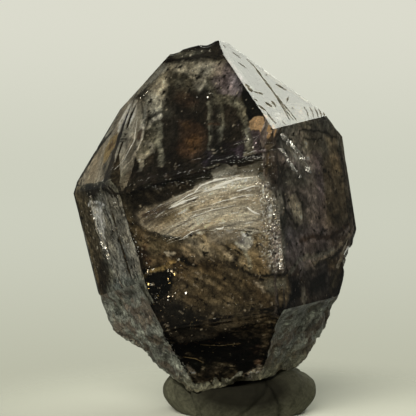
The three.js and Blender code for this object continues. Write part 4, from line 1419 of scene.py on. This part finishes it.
def heartPoints():
    # in every direction, from the core out to the nearest wall less the depth, under a tilted lid: the
    # nearest is the soft minimum (sum of reach to the power -sharp) to the power -1 / sharp, less noise
    turn = np.linspace(0, 2 * math.pi, heart["turns"] + 1)[:-1]
    rise = np.linspace(-math.pi / 2, math.pi / 2, heart["rises"] + 1)[1:-1]
    gr, gt = np.meshgrid(rise, turn, indexing="ij")
    rings = np.stack([np.cos(gt) * np.cos(gr), np.sin(gt) * np.cos(gr), np.sin(gr)], -1).reshape(-1, 3)
    ways = np.concatenate([[[0, 0, -1]], rings, [[0, 0, 1]]])
    core = np.array(heart["core"])
    lid = np.array(heart["lidFaces"]) / np.linalg.norm(heart["lidFaces"])
    normals = np.concatenate([wallNormals, [lid]])
    room = np.concatenate([wallReaches - heart["depth"] - wallNormals @ core, [heart["lid"]]])
    facing = ways @ normals.T
    reach = np.where(facing > 1e-6, room / np.maximum(facing, 1e-6), 1e9)
    nearest = (reach ** -heart["sharp"]).sum(1) ** (-1 / heart["sharp"])
    rough = layeredNoise(ways * heart["bumpsOn"] + 50, heart["bumps"], 60, octaves=5, fade=0.6)
    return core + ways * (nearest - heart["rough"] * (0.5 + rough))[:, None]


def heartMaterial():
    # dark mud with brown stains
    material, make, output = newMaterial("darkMud")
    place = attribute(make, "grown", "Vector")
    wide = useGroup(make, mottle, {"Place": place, "Size": 3.5, "Contrast": 3.0})
    close = useGroup(make, mottle, {"Place": place, "Size": 2.2, "Contrast": 3.0})
    base = blend(make, wide["Cloud"], *heart["tones"])
    spots = blend(make, ramp(make, close["Cloud"], 0.6, 1.0), base, heart["stain"])
    bump = make("Bump", {"Strength": 0.8, "Distance": 0.4 * mm, "Height": close["Cloud"]})
    mud = make("BsdfPrincipled", {"Base Color": spots, "Roughness": 0.6, "IOR": 1.1,
                                  "Normal": bump.outputs[0]})
    sendOut(output, mud)
    return material


def makeHeart():
    faces = closedFaces(heart["turns"], heart["rises"] - 1)
    makePiece("darkHeart", heartPoints(), faces, heartMaterial(), "smoky_amethyst")


makeVeils()
makeFlakes("glintFlakes", flakeGroups, flakeMaterial, np.zeros(3), 0.45)
makeFlakes("mirrorFlakes", mirrorGroups, mirrorMaterial, np.array([0.0, -0.6, 0.3]), 0.35)
makeThreads()
print("veils made")
makeHeart()
print("heart made")


tipMarks = {  # growth lines and pits on the bright tip face, and painted shade towards its right end
    "heights": (-0.07, 0.02, 0.035, 0.02, -0.07),  # mm over the face, from side to side
    "tones": ((0.03, 0.028, 0.02), (0.20, 0.18, 0.13)),
    "paths": [  # across the face in mm, and half the width in mm
        ([(3.9, 11.8), (3.9, 9.7), (3.1, 7.3), (2.3, 4.5), (1.4, 1.3), (1.1, -1.5), (0.5, -3.7)], 0.36),
        ([(1.4, 2.3), (0.1, -0.8), (-1, -3.2)], 0.17),
        ([(1.2, 1.4), (0.4, -1.1), (-0.2, -3.3)], 0.15),
        ([(2, 13.9), (2.7, 12.3)], 0.1),
        ([(0.9, 11.5), (1.4, 9.9)], 0.1),
        ([(-2.8, 6.4), (-3.3, 4.4)], 0.8),
        ([(-2.6, 4.3), (-1.1, 3.5)], 0.5),
        ([(-2.6, 1.7), (-2.1, 0.4)], 0.55),
        ([(-0.6, 1.7), (-1.1, 0.2)], 0.5),
        ([(-4.9, 1.3), (-4.7, -0.3)], 0.5),
        ([(4.8, 5.2), (5.8, 3.4)], 0.6),
        ([(4.7, 1.8), (3.4, 1.2), (2.9, 0.8)], 0.2),
        ([(4.9, 7.7), (4.6, 7.3)], 0.15),
        ([(1.5, 15.9), (1.5, 15.3)], 0.15),
        ([(-4.9, -0.7), (-5.2, -2), (-5.3, -3.3)], 0.35),
        ([(2.9, -0.5), (2.6, -1)], 0.14),
        ([(-3.2, -3.1), (-3.3, -3.9)], 0.15),
        ([(-4.6, 2.9), (-4.1, 2.2)], 0.3),
        # painted shade: these marks crowd and thicken towards the face's right end, where its mirrored light
        # fades; they also stand for the fine growth lines there
        ([(4.2, -3.6), (5.4, -2.2), (6, -0.9)], 0.12),
        ([(5.6, -3.7), (6.8, -2.4), (7.4, -1.2)], 0.16),
        ([(6.8, -3.8), (7.9, -2.7), (8.4, -1.6)], 0.22),
        ([(7.8, -3.8), (8.8, -2.9), (9.1, -2.1)], 0.28),
        ([(8.8, -3.8), (9.5, -3.1)], 0.3),
    ],
}


def makeTipMarks():
    plane = planes["rightTip"]
    ribbons = [ribbonSurface(path, half, plane, plane["reach"], tipMarks["heights"])
               for path, half in tipMarks["paths"]]
    material, make, output = newMaterial("growthMarksAndPaintedShade")
    place = attribute(make, "grown", "Vector")
    spots = useGroup(make, mottle, {"Place": place, "Size": 0.8, "Contrast": 2.5})
    base = blend(make, spots["Cloud"], *tipMarks["tones"])
    sendOut(output, make("BsdfPrincipled", {"Base Color": base, "Roughness": 0.8, "IOR": 1.2}))
    makePiece("tipMarks", *joinedRibbons(ribbons), material, "smoky_amethyst")


makeTipMarks()
print("marks made")


putty = {
    "halfWidth": 13.6,  # mm
    "halfDepth": 11.0,
    "high": 7.3,
    "upright": 0.28,  # its sides' roundness: 0 a drum, 1 a ball
    "pinch": (0.07, 0.05),  # share of its width lost at the foot and at the top
    "dents": (5.0, 0.05, 0.10),  # size in mm, and how much they change its width and its height
    "grain": (1.1, 0.02),  # size in mm, and how much it changes its width
    "turns": 260,
    "rings": 90,
    "gap": 0.3,  # mm, kept under the crystal
    "shade": (0.5, -9.0, 5.0),  # mm, the middle of the painted shade, a dark oval on its front under the crystal
    "shadeReach": (11.5, 9.0, 4.2),
    "tones": ((0.003, 0.0025, 0.0015), (0.010, 0.009, 0.005)),
    # the pale dust's tone, held back where the shade is painted
    "dustAndPaintedShade": (0.30, 0.295, 0.20),
    "creases": (  # bearing in degrees, how deep, how wide in degrees, how much it leans as it climbs
        (224, 0.15, 4, -10), (302, 0.10, 4, -16), (262, 0.035, 7, 10), (246, 0.03, 2.5, 30),
        (284, 0.03, 2.5, 34), (168, 0.06, 5, 4), (20, 0.07, 5, -5), (75, 0.07, 5, 6), (122, 0.05, 6, -6),
    ),
    "lobes": (  # bearing in degrees, mm higher, how wide in degrees
        (322, 0.9, 18), (200, 0.55, 16), (265, -0.5, 30), (60, 0.5, 25), (140, 0.4, 25),
    ),
}


def underCrystal(points):
    # height in the frame (mm) of the crystal's underside over each point's x and y
    normals = wallNormals @ axes.T
    reaches = wallReaches + normals @ np.array(stance["centre"])
    below = normals[:, 2] < -0.05
    level = (points @ normals[below, :2].T - reaches[below]) / -normals[below, 2]
    return level.max(1)


def angleGap(a, b):
    # the shorter way round from b to a, in degrees
    return (a - b + 180) % 360 - 180


def puttyPoints():
    # round the lump by bearing, and by climb from the middle of its underside out, up and over to the
    # middle of its top. Its half width is the cosine of the climb to a low power, so that its sides stand
    # upright, and its level is a stretched sine cut off at 0, so that it lies flat. It is pinched at foot
    # and top, less its creases, uneven by dents, and kept below the crystal
    p = putty
    bearing = np.linspace(0, 360, p["turns"] + 1)[:-1]
    climb = np.linspace(-90, 90, p["rings"] + 1)[1:-1]
    up, turn = np.meshgrid(climb, bearing, indexing="ij")
    a, e = np.radians(turn), np.radians(up)
    high = p["high"] + sum(rise * np.exp(-(angleGap(turn, at) / wide) ** 2) for at, rise, wide in p["lobes"])
    out = np.cos(e) ** p["upright"]
    level = np.clip(0.5 + 0.62 * np.sign(up) * np.abs(np.sin(e)) ** 0.8, 0, 1.12) / 1.12
    footPinch, topPinch = p["pinch"]
    pinch = 1 - footPinch * (1 - smoothStep(0, 0.45, level)) - topPinch * smoothStep(0.6, 1, level)
    fold = sum(deep * np.exp(-(angleGap(turn, at + lean * (level - 0.5)) / wide) ** 2)
               for at, deep, wide, lean in p["creases"])
    unit = np.stack([np.cos(a) * out * p["halfWidth"], np.sin(a) * out * p["halfDepth"], level * high], -1)
    flat = unit.reshape(-1, 3)
    dentSize, dentWide, dentHigh = p["dents"]
    grainSize, grainWide = p["grain"]
    dents = layeredNoise(flat, dentSize, 21, octaves=3).reshape(turn.shape)
    fine = layeredNoise(flat * [1, 1, 0.4], grainSize, 25, octaves=3).reshape(turn.shape)
    out = out * pinch * (1 - fold) * (0.965 + dentWide * dents + grainWide * fine)
    points = np.stack([np.cos(a) * out * p["halfWidth"], np.sin(a) * out * p["halfDepth"],
                       level * high * (1 + dentHigh * dents * level)], -1)
    points = np.concatenate([[[0, 0, 0]], points.reshape(-1, 3), [[0, 0, high.mean()]]])
    points[:, 2] = np.clip(np.minimum(points[:, 2], underCrystal(points[:, :2]) - p["gap"]), 0, None)
    return points


def puttyMaterial():
    # nearly black clay under pale dust, with painted shade where the dust is held back under the crystal
    material, make, output = newMaterial("displayPutty")
    place = attribute(make, "grown", "Vector")
    cloud = useGroup(make, mottle, {"Place": place, "Size": 3.0, "Contrast": 2.0})
    fine = useGroup(make, mottle, {"Place": place, "Size": 0.5, "Contrast": 1.6})
    base = blend(make, cloud["Cloud"], *putty["tones"])
    # painted shade: the dust is all but held back in a flat oval on its front under the crystal, where the
    # crystal's shadow falls, and its sides stay paler as painted light: length of (place - shade) /
    # shadeReach
    shade, reach = ([v * mm for v in putty[name]] for name in ("shade", "shadeReach"))
    away = make("VectorMath", {0: make("TexCoord").outputs["Object"], 1: shade}, operation="SUBTRACT")
    away = make("VectorMath", {0: away.outputs["Vector"], 1: reach}, operation="DIVIDE")
    away = make("VectorMath", {0: away.outputs["Vector"]}, operation="LENGTH").outputs["Value"]
    speck = ramp(make, fine["Cloud"], 0.2, 0.9, 0.16, 0.44)
    dustAndPaintedShade = arithmetic(make, "MULTIPLY", speck, ramp(make, away, 0.55, 1.3, 0.03, 1.0))
    dustedWithPaintedShade = blend(make, dustAndPaintedShade, base, putty["dustAndPaintedShade"])
    raised = arithmetic(make, "ADD", fine["Cloud"], fine["Grit"])
    bump = make("Bump", {"Strength": 0.5, "Distance": 0.3 * mm, "Height": raised})
    clay = make("BsdfPrincipled", {"Base Color": dustedWithPaintedShade, "Roughness": 0.8, "IOR": 1.2,
                                   "Normal": bump.outputs[0]})
    sendOut(output, clay)
    return material


def makePutty():
    points = toCrystal(puttyPoints() * mm)
    faces = closedFaces(putty["turns"], putty["rings"] - 1)
    piece = makePiece("puttyLump", points, faces, puttyMaterial(), "display_putty")
    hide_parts("putty")


makePutty()
print("putty made")


studio = {
    "floorTone": (0.60, 0.61, 0.535),
    "floorReach": (0.020, 0.062),  # m, where the floor starts and ends its fade
    "floorSides": 64,
    "floorRings": 8,
    "tentAim": (0.28, 0.96, 0.0),  # the lit screen behind the crystal, a little to the right
    "tentEdge": (0.76, 0.95),  # cosines of the angles where it starts and is full
    "bright": (0.82, 0.85, 0.73),
    "dim": (0.085, 0.087, 0.080),  # the rest of the room
    "below": (0.02, 0.02, 0.018),  # and what lies under the crystal
    "belowFade": (-0.5, 0.1),  # the heights of directions between which the one turns into the other
    "bands": ((0.475, 0.48, 0.371), (0.604, 0.617, 0.515), (0.708, 0.708, 0.610)),  # what the camera sees
    "bandHeights": (-0.19, -0.08, 0.02),  # of directions, at each of those tones
    "lampAim": (0, 0, 0.04),  # m
    "lamps": {  # place in m, side in m, watts, tone
        "topSoftbox": ((0.40, 0.468, 0.655), 0.5, 3.3, (0.985, 0.995, 0.87)),
        "frontFill": ((-0.30, -0.70, 0.50), 0.7, 12.0, (1.0, 0.975, 0.86)),
        "rightFill": ((0.55, -0.44, 0.29), 0.2, 0.6, (1.0, 0.99, 0.88)),
    },
}


def makeFloor():
    # a disc of rings, joined to the air by a fade that ends just inside its rim
    sides, rows = studio["floorSides"], studio["floorRings"]
    reach = np.linspace(0, 1, rows + 1)[1:, None] * studio["floorReach"][1] * 1.02
    turn = np.linspace(0, 2 * math.pi, sides + 1)[:-1]
    rings = np.stack([np.cos(turn) * reach, np.sin(turn) * reach, np.zeros((rows, sides))], -1)
    points = np.concatenate([[[0, 0, 0]], rings.reshape(-1, 3)])
    faces = [[0, 1 + i, 1 + (i + 1) % sides] for i in range(sides)]
    for a in range(1, sides * (rows - 1), sides):
        b = a + sides
        faces += [[a + i, b + i, b + (i + 1) % sides, a + (i + 1) % sides] for i in range(sides)]
    mesh = bpy.data.meshes.new("floor")
    mesh.from_pydata(points, [], faces)
    material, make, output = newMaterial("palePaper")
    spot = make("TexCoord").outputs["Object"]
    flat = make("Mapping", {"Vector": spot, "Scale": (1, 1, 0)}).outputs[0]
    away = make("VectorMath", {0: flat}, operation="LENGTH").outputs["Value"]
    fade = ramp(make, away, *studio["floorReach"], kind="SMOOTHSTEP")
    paper = make("BsdfPrincipled", {"Base Color": (*studio["floorTone"], 1), "Roughness": 0.9})
    clear = make("BsdfTransparent")
    sendOut(output, make("MixShader", {0: fade, 1: paper.outputs[0], 2: clear.outputs[0]}))
    mesh.materials.append(material)
    floor = bpy.data.objects.new("floor", mesh)
    bpy.context.scene.collection.objects.link(floor)
    floor.visible_glossy = False  # the foot's dark faces mirror the room, not the pale floor


def makeWorld():
    # light: dim in front, bright behind; the camera itself sees pale bands from low to high
    world = bpy.data.worlds.new("studioAir")
    world.use_nodes = True
    tree = world.node_tree
    tree.nodes.remove(tree.nodes["Background"])
    make = nodeMaker(tree)
    heading = make("SeparateXYZ", {0: make("TexCoord").outputs["Generated"]}).outputs
    towards = make("VectorMath", {0: make("TexCoord").outputs["Generated"], 1: studio["tentAim"]},
                   operation="DOT_PRODUCT").outputs["Value"]
    behind = ramp(make, towards, *studio["tentEdge"], kind="SMOOTHSTEP")
    above = ramp(make, heading["Z"], *studio["belowFade"])
    room = blend(make, above, studio["below"], studio["dim"])
    light = make("Background", {"Color": blend(make, behind, room, studio["bright"])})
    colour, *higher = studio["bands"]
    for heights, tone in zip(itertools.pairwise(studio["bandHeights"]), higher):
        colour = blend(make, ramp(make, heading["Z"], *heights, kind="SMOOTHSTEP"), colour, tone)
    seen = make("Background", {"Color": colour})
    straight = make("LightPath").outputs["Is Camera Ray"]
    mixed = make("MixShader", {0: straight, 1: light.outputs[0], 2: seen.outputs[0]})
    sendOut(tree.nodes["World Output"], mixed)
    bpy.context.scene.world = world


def makeLight(name, spot, aim, size, power, tone):
    # a square lamp at spot that shines towards aim
    lamp = bpy.data.lights.new(name, "AREA")
    lamp.shape = "SQUARE"
    lamp.size = size
    lamp.energy = power
    lamp.color = tone
    lampObject = bpy.data.objects.new(name, lamp)
    lampObject.location = spot
    lampObject.rotation_euler = (Vector(aim) - Vector(spot)).to_track_quat("-Z", "Y").to_euler()
    bpy.context.scene.collection.objects.link(lampObject)


view = {
    "aim": (-0.0055, 0.0, 0.0353),  # m
    "distance": 0.3448,  # m
    "down": 4.8,  # degrees
    "lens": 173.1,  # mm
    "sensor": 36,  # mm
}


def makeCamera():
    data = bpy.data.cameras.new("camera")
    data.sensor_width = view["sensor"]
    data.lens = view["lens"]
    data.clip_start, data.clip_end = 0.01, 20
    camera = bpy.data.objects.new("camera", data)
    down = math.radians(view["down"])
    ahead = Vector((0, math.cos(down), -math.sin(down)))
    camera.location = Vector(view["aim"]) - ahead * view["distance"]
    camera.rotation_euler = ahead.to_track_quat("-Z", "Y").to_euler()
    bpy.context.scene.collection.objects.link(camera)
    bpy.context.scene.camera = camera


makeFloor()
makeWorld()
for lampName, (spot, side, watts, tone) in studio["lamps"].items():
    makeLight(lampName, spot, studio["lampAim"], side, watts, tone)
makeCamera()

scene = bpy.context.scene
scene.view_settings.view_transform = "Standard"
scene.cycles.max_bounces = 24
scene.cycles.transmission_bounces = 20
scene.cycles.transparent_max_bounces = 32
scene.cycles.caustics_refractive = False
scene.cycles.caustics_reflective = False
print("studio set")
